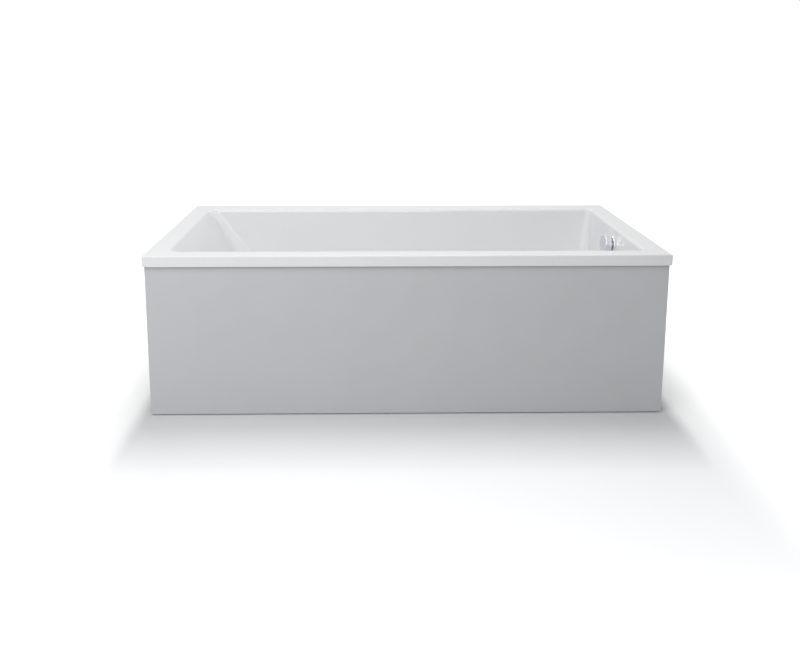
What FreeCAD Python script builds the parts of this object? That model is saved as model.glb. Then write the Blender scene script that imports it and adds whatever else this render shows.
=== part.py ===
"""Alcove bathtub: a drafted acrylic tub on a levelling leg frame, with a clip-on front panel,
a turning overflow control that lifts the waste plug through a sheathed cable, and a low trap.

Millimetres. X runs along the bath (head end and backrest at -X, foot end with the overflow and
waste at +X), Y across it (front panel at -Y, wall at +Y), Z up. The origin is the centre of the
bath's footprint on the floor.
"""

import FreeCAD, Part

import math
import os

from FreeCAD import Placement, Rotation, Vector

# ---------------------------------------------------------------- overall
BATH_LENGTH = 1700.0
BATH_WIDTH = 750.0
RIM_HEIGHT = 545.0          # floor to the top of the deck

# ---------------------------------------------------------------- rim
LIP_HEIGHT = 35.0           # the downturned edge all round
LIP_WALL = 5.0
RIM_CORNER_R = 6.0          # plan corners of the lip
RIM_EDGE_R = 4.0            # deck into lip
DECK_HEAD = 65.0            # flat deck, from the outer edge to the start of the roll
DECK_FOOT = 58.0
DECK_FRONT = 50.0
DECK_BACK = 66.0
ROLL_R = 13.0               # deck rolling over into the basin

# ---------------------------------------------------------------- basin
FLOOR_HEIGHT = 115.0        # basin floor above the ground, at the waste
FLOOR_FALL = 7.0            # fall of the basin floor from the backrest to the waste
BACKREST_LEAN = 35.0        # degrees from vertical
FOOT_DRAFT = 6.0
SIDE_DRAFT = 7.0
CORNER_R_HEAD = 34.0        # plan corners of the basin at the deck ...
CORNER_R_FOOT = 15.0
CORNER_R_FLOOR = 88.0       # ... opening out towards the floor
FLOOR_R = 76.0              # walls into floor
SHELL_WALL = 5.5            # sheet with its reinforcement

# ---------------------------------------------------------------- waste and overflow positions
WASTE_FROM_FOOT = 260.0     # waste axis to the outer foot edge
WASTE_HOLE_R = 26.0
WASTE_RECESS_R = 38.0
WASTE_RECESS_DEPTH = 4.5
OVERFLOW_DROP = 69.0        # deck to the overflow axis, at the basin wall
OVERFLOW_HOLE_R = 26.0

# ---------------------------------------------------------------- carcass
BOARD_THICK = 15.0
BOARD_EDGE_GAP = 4.0        # board edge to the start of the floor curve
BOARD_WASTE_GAP = 14.0      # board end to the waste boss
BATTEN_WIDTH = 22.0
BATTEN_HEIGHT = 18.0
BATTEN_WALL_GAP = 8.5       # batten to the basin wall at deck level
BATTEN_END_GAP = 5.0        # long battens to the lip
BATTEN_JOINT_GAP = 0.5      # end battens to the long ones
RAIL_WIDTH = 40.0
RAIL_HEIGHT = 25.0
RAIL_SHEET = 2.0
RAIL_FROM_BOARD_HEAD = 100.0    # board's head end to the axis of the first rail
RAIL_FROM_BOARD_FOOT = 102.5    # board's foot end to the axis of the second
RAIL_SCREW_EDGE = 30.0      # outer screws in from the board's long edges
RAIL_SCREW_PITCH = 90.0     # outer to inner screws
RAIL_OVERHANG = 22.0        # rail beyond its feet
FOOT_FROM_PANEL = 58.0      # front feet behind the panel's sheet
FOOT_FROM_WALL = 76.0       # back feet to the wall
STUD_R = 5.0
STUD_HOLE_PLAY = 0.4
STUD_TOP_ABOVE_RAIL = 30.0
NUT_FLATS = 17.0
NUT_HEIGHT = 8.0
PAD_R = 22.0
PAD_RIM = 5.0
PAD_EDGE = 1.0
PAD_NECK_R = 10.0
PAD_SHOULDER = 2.0
PAD_HEIGHT = 14.0
PAD_SOCKET_DEPTH = 8.0
STUD_HEX_FLATS = 14.0
STUD_HEX_HEIGHT = 6.0
STUD_HEX_GAP = 1.0          # hexagon above the pad
STUD_TIP = 1.5

# ---------------------------------------------------------------- front panel
PANEL_SETBACK = 12.0        # lip face to panel face
PANEL_INSET = 5.0           # bath end to panel end
PANEL_SHEET = 4.0
PANEL_RETURN = 20.0
PANEL_CORNER_R = 6.0
PANEL_EDGE_R = 2.0
PANEL_FLOOR_GAP = 3.0
PANEL_TUCK = 8.0            # panel behind the lip
STIFFENER_WIDTH = 40.0
STIFFENER_THICK = 18.0
STIFFENER_TOP_DROP = 45.0   # stiffener below the panel's top edge
STIFFENER_END_X = 120.0     # outer stiffeners from the panel's ends
CLIP_COUNT = 4
CLIP_FROM_END = 250.0       # outer clips from the bath's ends
CLIP_WIDTH = 30.0
CLIP_SHEET = 2.0
CLIP_LEG = 16.0
CLIP_NOSE = 8.0
CLIP_LAP = 9.0              # leg's flange under the clip's arm
STRIP_BEND = 3.0            # outer bends of clips, brackets and anchors
STRIP_INNER_BEND = 1.0
CLIP_END_GAP = 2.0          # clip's tail to the batten's inner face
CLIP_GRIP = 0.3             # play each side of the panel sheet
BRACKET_HEIGHT = 18.0
BRACKET_SHEET = 2.0
BRACKET_LAP = 50.0          # bracket along the rail
BRACKET_SCREW_IN = 18.0     # rail's end to the bracket's screw
BRACKET_TAB = 24.0

# ---------------------------------------------------------------- wall anchors
ANCHOR_FROM_END = 350.0
ANCHOR_WIDTH = 40.0
ANCHOR_SHEET = 2.0
ANCHOR_LEG = 62.0           # upright leg against the wall
ANCHOR_DIP = 9.0            # anchor below the lip's lower edge
ANCHOR_TAIL_GAP = 3.0       # anchor's tail to the batten's inner face
ANCHOR_HOLE_R = 3.5
ANCHOR_HOLE_PITCH = 30.0
ANCHOR_HOLE_EDGE = 12.0

# ---------------------------------------------------------------- small screws
SCREW_R = 2.0
SCREW_HEAD_R = 4.0
SCREW_HEAD = 2.4
SCREW_LENGTH = 13.0         # under the head
SCREW_PLAY = 0.05           # round a screw in its pilot hole

# ---------------------------------------------------------------- overflow control
ROSETTE_R = 34.5
ROSETTE_THICK = 3.0
ROSETTE_BEVEL = 1.8
ROSETTE_SLOT_R = 4.0
PORT_CIRCLE_R = 18.0        # water holes and clamp screws of the rosette
KNOB_R = 36.0
KNOB_REACH = 32.0           # basin wall to the knob's face
KNOB_RIM = 4.0
KNOB_WAIST_R = 31.0
KNOB_WAIST_LENGTH = 3.0
KNOB_FLARE = ((0.14, 0.42), (0.45, 0.78))   # flare from waist to rim: shares of its width and height
KNOB_EDGE = 1.0
KNOB_BACK_GAP = 6.0         # rosette to the knob's back
KNOB_HUB_R = 8.0
KNOB_HUB_GAP = 0.4
KNOB_NOTCH_R = 2.2
SPINDLE_R = 4.0
SPINDLE_IN_KNOB = 20.0
SPINDLE_BEARING = 12.0
SPINDLE_END_GAP = 4.0       # shaft's end to the bottom of its bearing
BORE_OVERRUN = 0.5          # blind bores past what stands in them
RUNNING_FIT = 0.06          # radial, between a shaft and its bearing
DRUM_R = 12.0
DRUM_THICK = 5.0
DRUM_GROOVE = 1.5           # groove depth, and the drum's lips each side of it
DRUM_BEHIND_WALL = 6.0
OVERFLOW_CUP_R = 24.5
OVERFLOW_CUP_WALL = 3.0
OVERFLOW_CUP_DEPTH = 42.0   # behind the basin wall
OVERFLOW_CUP_SHY = 1.0      # cup's rim behind the basin's face
OVERFLOW_FLANGE_R = 33.0
OVERFLOW_FLANGE = 3.0
GASKET_THICK = 2.0
GASKET_PLAY = 0.3           # gasket round a neck
BOSS_R = 4.0                # screw posts, merging with the cup's wall
CLAMP_SCREW_R = 1.5
CLAMP_SCREW_HEAD_R = 3.0
CLAMP_SCREW_HEAD = 2.0
CLAMP_SCREW_LENGTH = 16.0

# ---------------------------------------------------------------- overflow pipe and cable
PIPE_R = 14.0
PIPE_WALL = 2.0
PIPE_BEND_R = 60.0
PIPE_PLAY = 0.1             # pipe in its sockets
SOCKET_WALL = 2.9
SOCKET_REACH = 52.0         # overflow axis to the socket's mouth
SOCKET_BACK = 1.5           # socket behind the overflow body's flange
SOCKET_INSET = 16.0         # pipe inside its socket
UNION_R = 20.5
UNION_LENGTH = 20.0
UNION_LIP = 4.0
UNION_RIBS = 8
NUT_FLUTE_R = 2.5           # hollows round the moulded nuts
NUT_FLUTE_DEPTH = 0.8
NUT_EDGE = 1.0
CABLE_R = 2.5
CABLE_PORT_R = 5.0
CABLE_PORT_REACH = 38.0     # overflow axis to the port's mouth
CABLE_PORT_LENGTH = 8.0
CABLE_PLAY = 0.1
CABLE_SEAT = 6.0            # cable inside its ports
CABLE_STRAIGHT = 18.0       # cable straight out of the overflow's port
# route of the cable: (across, up, out) on the back of the foot wall from the overflow's axis,
# then (ahead, aside, above) from the lever housing's port
CABLE_ON_WALL = (
    (-52.0, -98.0, -2.0),
    (-56.0, -162.0, -3.0),
    (-58.0, -230.0, -4.0),
    (-62.0, -292.0, -2.0),
)
CABLE_TO_LEVER = (
    (146.0, 64.0, 44.0),
    (118.0, 78.0, 8.0),
    (72.0, 76.0, 2.0),
    (28.0, 64.0, 0.0),
    (0.0, 22.0, 0.0),
)

# ---------------------------------------------------------------- waste
FLANGE_R = 36.0
FLANGE_THICK = 3.0
FLANGE_LAND_R = 29.5        # inner edge of the raised rim
FLANGE_NECK_R = 24.0
FLANGE_BORE_R = 21.5
FLANGE_NECK_LENGTH = 28.0
FLANGE_EDGE = 1.0
SPIDER_HUB_R = 6.0
SPIDER_ARM = 3.0
SPIDER_DROP = 8.0           # spider below the flange's seat
SPIDER_HEIGHT = 10.0
SPIDER_ARMS = 3
SPIDER_ARM_SHY = 2.0        # arms lower and shorter than the hub, top and bottom
TOP_GASKET = 1.5
LOW_GASKET = 2.5
PLUG_R = 33.0
PLUG_EDGE = 0.8             # upright edge of the plug
PLUG_CROWN = 3.2
PLUG_FLAT_R = 12.0          # nearly flat middle of the crown ...
PLUG_SHOULDER_R = 26.0      # ... and the shoulder round it
PLUG_SHOULDER = 0.7         # shoulder below the crown
PLUG_GAP = 0.4              # closed plug above the flange's rim
SEAL_R = 28.0
SEAL_INNER_R = 22.5
SEAL_GAP = 0.3              # seal above its land when closed
STEM_R = 3.0
STEM_BELOW_LAND = 47.0
STEM_FOOT_R = 5.0
STEM_FOOT = 3.0
PLUG_TRAVEL = 10.0

BODY_FLANGE_R = 38.0
BODY_FLANGE = 4.0
BODY_COLLAR = 10.0
BODY_COLLAR_R = 29.0
THREAD_PLAY = 0.1
BODY_R = 32.0
BODY_WALL = 3.0
BODY_DEPTH = 42.0           # flange face to the cone
CONE_DEPTH = 10.0
NECK_R = 22.0
NECK_LENGTH = 9.0
INLET_DROP = 26.0           # flange face to the side inlet's axis
INLET_REACH = 66.0          # waste axis to the inlet's mouth

LEVER_PIVOT_Y = 34.0        # pivot behind the waste axis
LEVER_RISE = 7.2            # nose above the pivot
LEVER_NOSE_R = 3.0
LEVER_BOSS_R = 4.8
LEVER_THICK = 5.0
LEVER_TAIL = 6.5
LEVER_TAIL_BACK = 1.0
LEVER_TAIL_R = 2.2
LEVER_GAP = 0.3             # nose under the stem at rest
PIN_R = 1.5
PIN_HEAD_R = 2.6
PIN_HEAD = 1.2
LEVER_ROOM = 1.5            # housing wall beside the lever
HOUSING_WALL = 3.0
HOUSING_BACK = 16.0         # pivot to the housing's inner back face
HOUSING_UNDER = 6.0
HOUSING_OVER = 12.0
HOUSING_INTO_BODY = 4.0     # housing's room past the neck's thread

# ---------------------------------------------------------------- trap
TRAP_WASHER = 2.0
TRAP_FLANGE = 3.0
TRAP_NECK_R = 20.0
TRAP_WALL = 3.0
TRAP_FLOOR_GAP = 8.0        # trap above the ground
TRAP_CUP_R = 32.0
TRAP_NECK_LENGTH = 9.5      # cup's roof to the trap's top
TRAP_RISER_OFFSET = 76.0    # riser from the waste axis, towards the head
TRAP_RISER_R = 26.0
TRAP_RISER_HEIGHT = 56.0
OUTLET_R = 20.0
OUTLET_WALL = 2.0
OUTLET_HEIGHT = 38.0        # outlet axis above the ground
OUTLET_REACH = 150.0        # outlet mouth behind the centre line
OUTLET_FREE = 66.0          # free length for the waste pipe's coupling
OUTLET_COLLAR_R = 23.0
OUTLET_COLLAR = 4.0
TRAP_NUT_R = 28.0
TRAP_NUT_LIP = 3.0
TRAP_NUT_HEIGHT = 10.0
TRAP_NUT_RIBS = 10
TRAP_PLAY = 0.3             # nut's lip round the trap's neck


def tan_deg(angle):
    return math.tan(math.radians(angle))


def cos_deg(angle):
    return math.cos(math.radians(angle))


def roll_width(draft):
    """Deck width that the rolled edge takes, from the flat deck to the sharp corner it replaces."""
    return ROLL_R * tan_deg((90.0 - draft) / 2.0)


def floor_flat(draft, edge, way):
    """Where the level underside of the basin starts to curve, in from one of the mouth's edges."""
    depth = RIM_HEIGHT - SHELL_UNDER
    foot = depth * tan_deg(draft) - SHELL_WALL / cos_deg(draft)
    curve = (FLOOR_R + SHELL_WALL) * tan_deg((90.0 - draft) / 2.0)
    return edge + way * (foot + curve)


def spaced(first, last, count):
    return [first + (last - first) * i / (count - 1) for i in range(count)]


def ring_places(radius, angles):
    return [(radius * cos_deg(a), radius * cos_deg(a - 90)) for a in angles]


# ---------------------------------------------------------------- derived places
END_X = BATH_LENGTH / 2.0
END_Y = BATH_WIDTH / 2.0
LIP_BOTTOM = RIM_HEIGHT - LIP_HEIGHT
DECK_UNDER = RIM_HEIGHT - LIP_WALL

# sharp corners of the basin walls with the deck, before the edge is rolled
MOUTH_X0 = -END_X + DECK_HEAD + roll_width(BACKREST_LEAN)
MOUTH_X1 = END_X - DECK_FOOT - roll_width(FOOT_DRAFT)
MOUTH_Y0 = -END_Y + DECK_FRONT + roll_width(SIDE_DRAFT)
MOUTH_Y1 = END_Y - DECK_BACK - roll_width(SIDE_DRAFT)
MID_Y = (MOUTH_Y0 + MOUTH_Y1) / 2.0

BASIN_DEPTH = RIM_HEIGHT - FLOOR_HEIGHT
WASTE_X = END_X - WASTE_FROM_FOOT
SHELL_UNDER = FLOOR_HEIGHT - SHELL_WALL
BOARD_UNDER = SHELL_UNDER - BOARD_THICK
RAIL_UNDER = BOARD_UNDER - RAIL_HEIGHT

# overflow axis: a point on the basin face of the foot wall, with the wall's own directions
OVERFLOW_X = MOUTH_X1 - OVERFLOW_DROP * tan_deg(FOOT_DRAFT)
OVERFLOW_Z = RIM_HEIGHT - OVERFLOW_DROP
WALL_NORMAL = Vector(-cos_deg(FOOT_DRAFT), 0, math.sin(math.radians(FOOT_DRAFT)))
WALL_UP = Vector(math.sin(math.radians(FOOT_DRAFT)), 0, cos_deg(FOOT_DRAFT))
WALL_FRAME = Placement(
    Vector(OVERFLOW_X, MID_Y, OVERFLOW_Z),
    Rotation(WALL_UP.cross(WALL_NORMAL), WALL_UP, WALL_NORMAL, "ZYX"),
)

PANEL_FACE_Y = -END_Y + PANEL_SETBACK
PANEL_BACK_Y = PANEL_FACE_Y + PANEL_SHEET
PANEL_TOP = LIP_BOTTOM + PANEL_TUCK
PANEL_END_X = END_X - PANEL_INSET
STIFFENER_BACK_Y = PANEL_BACK_Y + STIFFENER_THICK

# inner faces of the battens, clear of the basin walls
BATTEN_UNDER = DECK_UNDER - BATTEN_HEIGHT
FRONT_BATTEN_Y = MOUTH_Y0 - SHELL_WALL / cos_deg(SIDE_DRAFT) - BATTEN_WALL_GAP
BACK_BATTEN_Y = MOUTH_Y1 + SHELL_WALL / cos_deg(SIDE_DRAFT) + BATTEN_WALL_GAP
HEAD_BATTEN_X = MOUTH_X0 - SHELL_WALL / cos_deg(BACKREST_LEAN) - BATTEN_WALL_GAP
FOOT_BATTEN_X = MOUTH_X1 + SHELL_WALL / cos_deg(FOOT_DRAFT) + BATTEN_WALL_GAP
CLIP_PLACES = spaced(-END_X + CLIP_FROM_END, END_X - CLIP_FROM_END, CLIP_COUNT)
ANCHOR_PLACES = (-END_X + ANCHOR_FROM_END, END_X - ANCHOR_FROM_END)

# base board on the flat of the basin's underside, and the leg rails under it
BOARD_X0 = floor_flat(BACKREST_LEAN, MOUTH_X0, 1) + BOARD_EDGE_GAP
BOARD_X1 = WASTE_X - WASTE_RECESS_R - SHELL_WALL - BOARD_WASTE_GAP
BOARD_Y0 = floor_flat(SIDE_DRAFT, MOUTH_Y0, 1) + BOARD_EDGE_GAP
BOARD_Y1 = floor_flat(SIDE_DRAFT, MOUTH_Y1, -1) - BOARD_EDGE_GAP
RAIL_HEAD_X = BOARD_X0 + RAIL_FROM_BOARD_HEAD
RAIL_FOOT_X = BOARD_X1 - RAIL_FROM_BOARD_FOOT
FOOT_ROWS = (PANEL_BACK_Y + FOOT_FROM_PANEL, END_Y - FOOT_FROM_WALL)
RAIL_Y0 = FOOT_ROWS[0] - RAIL_OVERHANG
RAIL_Y1 = FOOT_ROWS[1] + RAIL_OVERHANG
RAIL_SCREW_ROWS = (
    BOARD_Y0 + RAIL_SCREW_EDGE,
    BOARD_Y0 + RAIL_SCREW_EDGE + RAIL_SCREW_PITCH,
    BOARD_Y1 - RAIL_SCREW_EDGE - RAIL_SCREW_PITCH,
    BOARD_Y1 - RAIL_SCREW_EDGE,
)
BRACKET_MID = RAIL_UNDER + RAIL_HEIGHT / 2.0 - RAIL_SHEET

# levels of the waste, from the basin floor down
SEAT_Z = FLOOR_HEIGHT - WASTE_RECESS_DEPTH
BOSS_UNDER = SEAT_Z - SHELL_WALL
FLANGE_UNDER = SEAT_Z + TOP_GASKET
FLANGE_TOP = FLANGE_UNDER + FLANGE_THICK
LAND_Z = FLANGE_UNDER + FLANGE_THICK / 4.0
BODY_TOP = BOSS_UNDER - LOW_GASKET
CONE_TOP = BODY_TOP - BODY_DEPTH
NECK_TOP = CONE_TOP - CONE_DEPTH
NECK_UNDER = NECK_TOP - NECK_LENGTH
INLET_Z = BODY_TOP - INLET_DROP
STEM_UNDER = LAND_Z - STEM_BELOW_LAND
NOSE_Z = STEM_UNDER - LEVER_GAP - LEVER_NOSE_R
PIVOT_Z = NOSE_Z - LEVER_RISE
TRAP_TOP = NECK_UNDER - TRAP_WASHER
SOCKET_R = PIPE_R + PIPE_PLAY + SOCKET_WALL
SOCKET_DEEP = -(SHELL_WALL + GASKET_THICK + OVERFLOW_FLANGE + SOCKET_BACK + SOCKET_R)
HOUSING_END = LEVER_PIVOT_Y + HOUSING_BACK + HOUSING_WALL
CLAMP_PLACES = ring_places(PORT_CIRCLE_R, (0, 180))
WATER_PLACES = ring_places(PORT_CIRCLE_R, (45, 90, 135, 225, 270, 315))


# ---------------------------------------------------------------- helpers
def block(x0, x1, y0, y1, z0, z1):
    return Part.makeBox(x1 - x0, y1 - y0, z1 - z0, Vector(x0, y0, z0))


def cylinder(radius, z0, z1, x=0.0, y=0.0):
    return Part.makeCylinder(radius, z1 - z0, Vector(x, y, z0))


def tube(outer, inner, z0, z1, x=0.0, y=0.0):
    return cylinder(outer, z0, z1, x, y).cut(cylinder(inner, z0 - 1, z1 + 1, x, y))


def bar(radius, start, end):
    """Round bar from one point to another."""
    way = end - start
    return Part.makeCylinder(radius, way.Length, start, way)


def turned(profile, x=0.0, y=0.0):
    """Solid of revolution about a vertical axis, from a closed profile of (radius, height)."""
    points = [Vector(radius, 0, height) for radius, height in profile]
    face = Part.Face(Part.makePolygon(points + [points[0]]))
    solid = face.revolve(Vector(0, 0, 0), Vector(0, 0, 1), 360)
    solid.translate(Vector(x, y, 0))
    return solid


def hexagon(flats, z0, z1, x=0.0, y=0.0):
    reach = flats / 2.0 / cos_deg(30)
    points = [Vector(x + reach * cos_deg(60 * i), y + reach * cos_deg(60 * i - 90), z0) for i in range(7)]
    return Part.Face(Part.makePolygon(points)).extrude(Vector(0, 0, z1 - z0))


def rounded_path(points, radii):
    """Straight runs through the points, each inner point rounded with a tangent arc."""
    edges = []
    start = points[0]
    for before, corner, after, radius in zip(points, points[1:], points[2:], radii):
        back = (before - corner).normalize()
        ahead = (after - corner).normalize()
        half_turn = (math.pi - back.getAngle(ahead)) / 2.0
        reach = radius * math.tan(half_turn)
        middle_way = (back + ahead).normalize()
        middle = corner + middle_way * (radius / math.cos(half_turn) - radius)
        arc_start = corner + back * reach
        arc_end = corner + ahead * reach
        edges.append(Part.makeLine(start, arc_start))
        edges.append(Part.Arc(arc_start, middle, arc_end).toShape())
        start = arc_end
    edges.append(Part.makeLine(start, points[-1]))
    return Part.Wire(edges)


def folded_strip(points, radii, sheet, way):
    """Sheet strip bent along the points and extruded; the sheet lies to the right of them, seen against
    the plane's axis (X, or Z for a level line; -Y for one across the bath)."""
    line = rounded_path(points, radii)
    return line.makeOffset2D(sheet, 0, True, True, False).extrude(way)


def edges_where(shape, test):
    return [edge for edge in shape.Edges if test(edge.BoundBox)]


def on_wall(shape):
    """Carry a shape from the overflow's own frame (Z along the wall's normal) to its place."""
    placed = shape.copy()
    placed.Placement = WALL_FRAME.multiply(placed.Placement)
    return placed


def wall_point(across, up, out):
    return WALL_FRAME.multVec(Vector(across, up, out))


def screw(at, way, radius=SCREW_R, head_r=SCREW_HEAD_R, head=SCREW_HEAD, length=SCREW_LENGTH):
    """Pan-head screw: the underside of the head at the given point, the shank along the way."""
    shank = Part.makeCylinder(radius, length, at, way)
    cap = Part.makeCylinder(head_r, head, at - way * head, way)
    return shank.fuse(cap)


def pilot(at, way, radius=SCREW_R, length=SCREW_LENGTH):
    """Room for a screw's shank, a little deeper and wider than it."""
    return Part.makeCylinder(radius + SCREW_PLAY, length + 1.0, at, way)


def cut_all(shape, tools):
    for tool in tools:
        shape = shape.cut(tool)
    return shape


# ---------------------------------------------------------------- tub
def plan_outline(x0, x1, y0, y1, z, head_r, foot_r):
    """Rectangle with round corners, level at z, as four lines and four arcs."""
    corners = [(x1, y0, -90, foot_r), (x1, y1, 0, foot_r), (x0, y1, 90, head_r), (x0, y0, 180, head_r)]
    arcs = []
    for x, y, start, radius in corners:
        centre_x = x - math.copysign(radius, x - (x0 + x1) / 2.0)
        centre_y = y - math.copysign(radius, y - (y0 + y1) / 2.0)
        turns = [(cos_deg(start + turn), cos_deg(start + turn - 90)) for turn in (0, 45, 90)]
        arcs.append([Vector(centre_x + radius * u, centre_y + radius * v, z) for u, v in turns])
    edges = []
    last_end = arcs[-1][2]
    for start, middle, end in arcs:
        edges.append(Part.makeLine(last_end, start))
        edges.append(Part.Arc(start, middle, end).toShape())
        last_end = end
    return Part.Wire(edges)


def basin_form(grow, top, bottom):
    """The basin's drafted block, every wall moved outwards by grow, between two levels.

    Its walls are planes, and each corner is ruled between a small arc above and a larger one below.
    """
    outlines = []
    for z in (top, bottom):
        depth = RIM_HEIGHT - z
        share = depth / BASIN_DEPTH
        outlines.append(
            plan_outline(
                MOUTH_X0 - grow / cos_deg(BACKREST_LEAN) + depth * tan_deg(BACKREST_LEAN),
                MOUTH_X1 + grow / cos_deg(FOOT_DRAFT) - depth * tan_deg(FOOT_DRAFT),
                MOUTH_Y0 - grow / cos_deg(SIDE_DRAFT) + depth * tan_deg(SIDE_DRAFT),
                MOUTH_Y1 + grow / cos_deg(SIDE_DRAFT) - depth * tan_deg(SIDE_DRAFT),
                z,
                CORNER_R_HEAD + (CORNER_R_FLOOR - CORNER_R_HEAD) * share + grow,
                CORNER_R_FOOT + (CORNER_R_FLOOR - CORNER_R_FOOT) * share + grow,
            )
        )
    faces = [Part.Face(outline) for outline in outlines]
    for upper, lower in zip(outlines[0].Edges, outlines[1].Edges):
        if isinstance(upper.Curve, Part.Line):
            ends = [vertex.Point for vertex in upper.Vertexes + lower.Vertexes[::-1]]
            faces.append(Part.Face(Part.makePolygon(ends + [ends[0]])))
        else:
            faces.append(Part.makeRuledSurface(upper, lower))
    skin = Part.makeShell(faces)
    skin.sewShape()
    form = Part.makeSolid(skin)
    if form.Volume < 0:
        form.reverse()
    return form


def basin_hollow():
    """The space inside the basin, its floor falling to the waste and curving into the walls."""
    below = 20.0
    hollow = basin_form(0.0, RIM_HEIGHT + ROLL_R, FLOOR_HEIGHT - below)
    run = WASTE_X - MOUTH_X0 - BASIN_DEPTH * tan_deg(BACKREST_LEAN)
    fall = math.degrees(math.atan2(FLOOR_FALL, run))
    under = block(-BATH_LENGTH, BATH_LENGTH, -BATH_WIDTH, BATH_WIDTH, -4 * below, 0)
    under.Placement = Placement(Vector(WASTE_X, 0, FLOOR_HEIGHT), Rotation(Vector(0, 1, 0), fall))
    hollow = hollow.cut(under)
    foot_edges = edges_where(hollow, lambda box: box.ZMax < FLOOR_HEIGHT + FLOOR_FALL + below)
    return hollow.makeFillet(FLOOR_R, foot_edges)


def basin_outside():
    """The basin's outer face; its underside is level, so that the base board lies flat."""
    outside = basin_form(SHELL_WALL, RIM_HEIGHT - LIP_WALL / 2.0, SHELL_UNDER)
    foot_edges = edges_where(outside, lambda box: box.ZMax < SHELL_UNDER + 1)
    return outside.makeFillet(FLOOR_R + SHELL_WALL, foot_edges)


def rim_tray():
    """The deck with its downturned lip, before the basin is opened."""
    slab = block(-END_X, END_X, -END_Y, END_Y, LIP_BOTTOM, RIM_HEIGHT)
    slab = slab.makeFillet(RIM_CORNER_R, edges_where(slab, lambda box: box.ZLength > LIP_HEIGHT / 2))
    slab = slab.makeFillet(RIM_EDGE_R, edges_where(slab, lambda box: box.ZMin > RIM_HEIGHT - 0.1))
    inner_x = END_X - LIP_WALL
    inner_y = END_Y - LIP_WALL
    room = block(-inner_x, inner_x, -inner_y, inner_y, LIP_BOTTOM - 1, DECK_UNDER)
    return slab.cut(room)


def inside_deck(box, margin):
    """Whether a box lies inside the deck, clear of the lip by more than the margin."""
    return max(-box.XMin, box.XMax) < END_X - margin and max(-box.YMin, box.YMax) < END_Y - margin


def tub_shell():
    boss = cylinder(WASTE_RECESS_R + SHELL_WALL, BOSS_UNDER, SHELL_UNDER + 1, WASTE_X, MID_Y)
    shell = rim_tray().fuse([basin_outside(), boss])
    shell = shell.cut(basin_hollow())
    shell = shell.cut(cylinder(WASTE_RECESS_R, SEAT_Z, FLOOR_HEIGHT + 10, WASTE_X, MID_Y))
    shell = shell.cut(cylinder(WASTE_HOLE_R, BOSS_UNDER - 1, SEAT_Z + 1, WASTE_X, MID_Y))
    shell = shell.cut(on_wall(cylinder(OVERFLOW_HOLE_R, -3 * SHELL_WALL, SHELL_WALL)))
    margin = 2 * LIP_WALL
    mouth = edges_where(shell, lambda box: box.ZMin > RIM_HEIGHT - 0.01 and inside_deck(box, margin))
    shell = shell.makeFillet(ROLL_R, mouth)
    under = edges_where(
        shell,
        lambda box: abs(box.ZMin - DECK_UNDER) < 0.01
        and abs(box.ZMax - DECK_UNDER) < 0.01
        and inside_deck(box, margin),
    )
    return shell.makeFillet(ROLL_R - LIP_WALL, under)


# ---------------------------------------------------------------- carcass
def rail_screw_spots(rail_x):
    return [Vector(rail_x, y, BOARD_UNDER - RAIL_SHEET) for y in RAIL_SCREW_ROWS]


def base_board():
    board = block(BOARD_X0, BOARD_X1, BOARD_Y0, BOARD_Y1, BOARD_UNDER, SHELL_UNDER)
    spots = rail_screw_spots(RAIL_HEAD_X) + rail_screw_spots(RAIL_FOOT_X)
    return cut_all(board, [pilot(spot, Vector(0, 0, 1)) for spot in spots])


def clip_screw_spot(x):
    return Vector(x, FRONT_BATTEN_Y - BATTEN_WIDTH / 2.0, BATTEN_UNDER - CLIP_SHEET)


def anchor_screw_spot(x):
    return Vector(x, BACK_BATTEN_Y + BATTEN_WIDTH / 2.0, BATTEN_UNDER - ANCHOR_SHEET)


def rim_batten_front():
    end = END_X - LIP_WALL - BATTEN_END_GAP
    batten = block(-end, end, FRONT_BATTEN_Y - BATTEN_WIDTH, FRONT_BATTEN_Y, BATTEN_UNDER, DECK_UNDER)
    return cut_all(batten, [pilot(clip_screw_spot(x), Vector(0, 0, 1)) for x in CLIP_PLACES])


def rim_batten_back():
    end = END_X - LIP_WALL - BATTEN_END_GAP
    batten = block(-end, end, BACK_BATTEN_Y, BACK_BATTEN_Y + BATTEN_WIDTH, BATTEN_UNDER, DECK_UNDER)
    return cut_all(batten, [pilot(anchor_screw_spot(x), Vector(0, 0, 1)) for x in ANCHOR_PLACES])


def rim_batten_end(inner_x, way):
    """Batten across one end, between the long ones."""
    x0, x1 = sorted((inner_x, inner_x + way * BATTEN_WIDTH))
    y0 = FRONT_BATTEN_Y + BATTEN_JOINT_GAP
    y1 = BACK_BATTEN_Y - BATTEN_JOINT_GAP
    return block(x0, x1, y0, y1, BATTEN_UNDER, DECK_UNDER)


def bracket_side(rail_x):
    """Outer face of the rail's flange that carries a panel bracket."""
    return rail_x + RAIL_WIDTH / 2.0


def bracket_rail_screw(rail_x):
    return Vector(bracket_side(rail_x) + BRACKET_SHEET, RAIL_Y0 + BRACKET_SCREW_IN, BRACKET_MID)


def bracket_tab_screw(rail_x):
    x = bracket_side(rail_x) + BRACKET_SHEET + BRACKET_TAB / 2.0
    return Vector(x, STIFFENER_BACK_Y + BRACKET_SHEET, BRACKET_MID)


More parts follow.
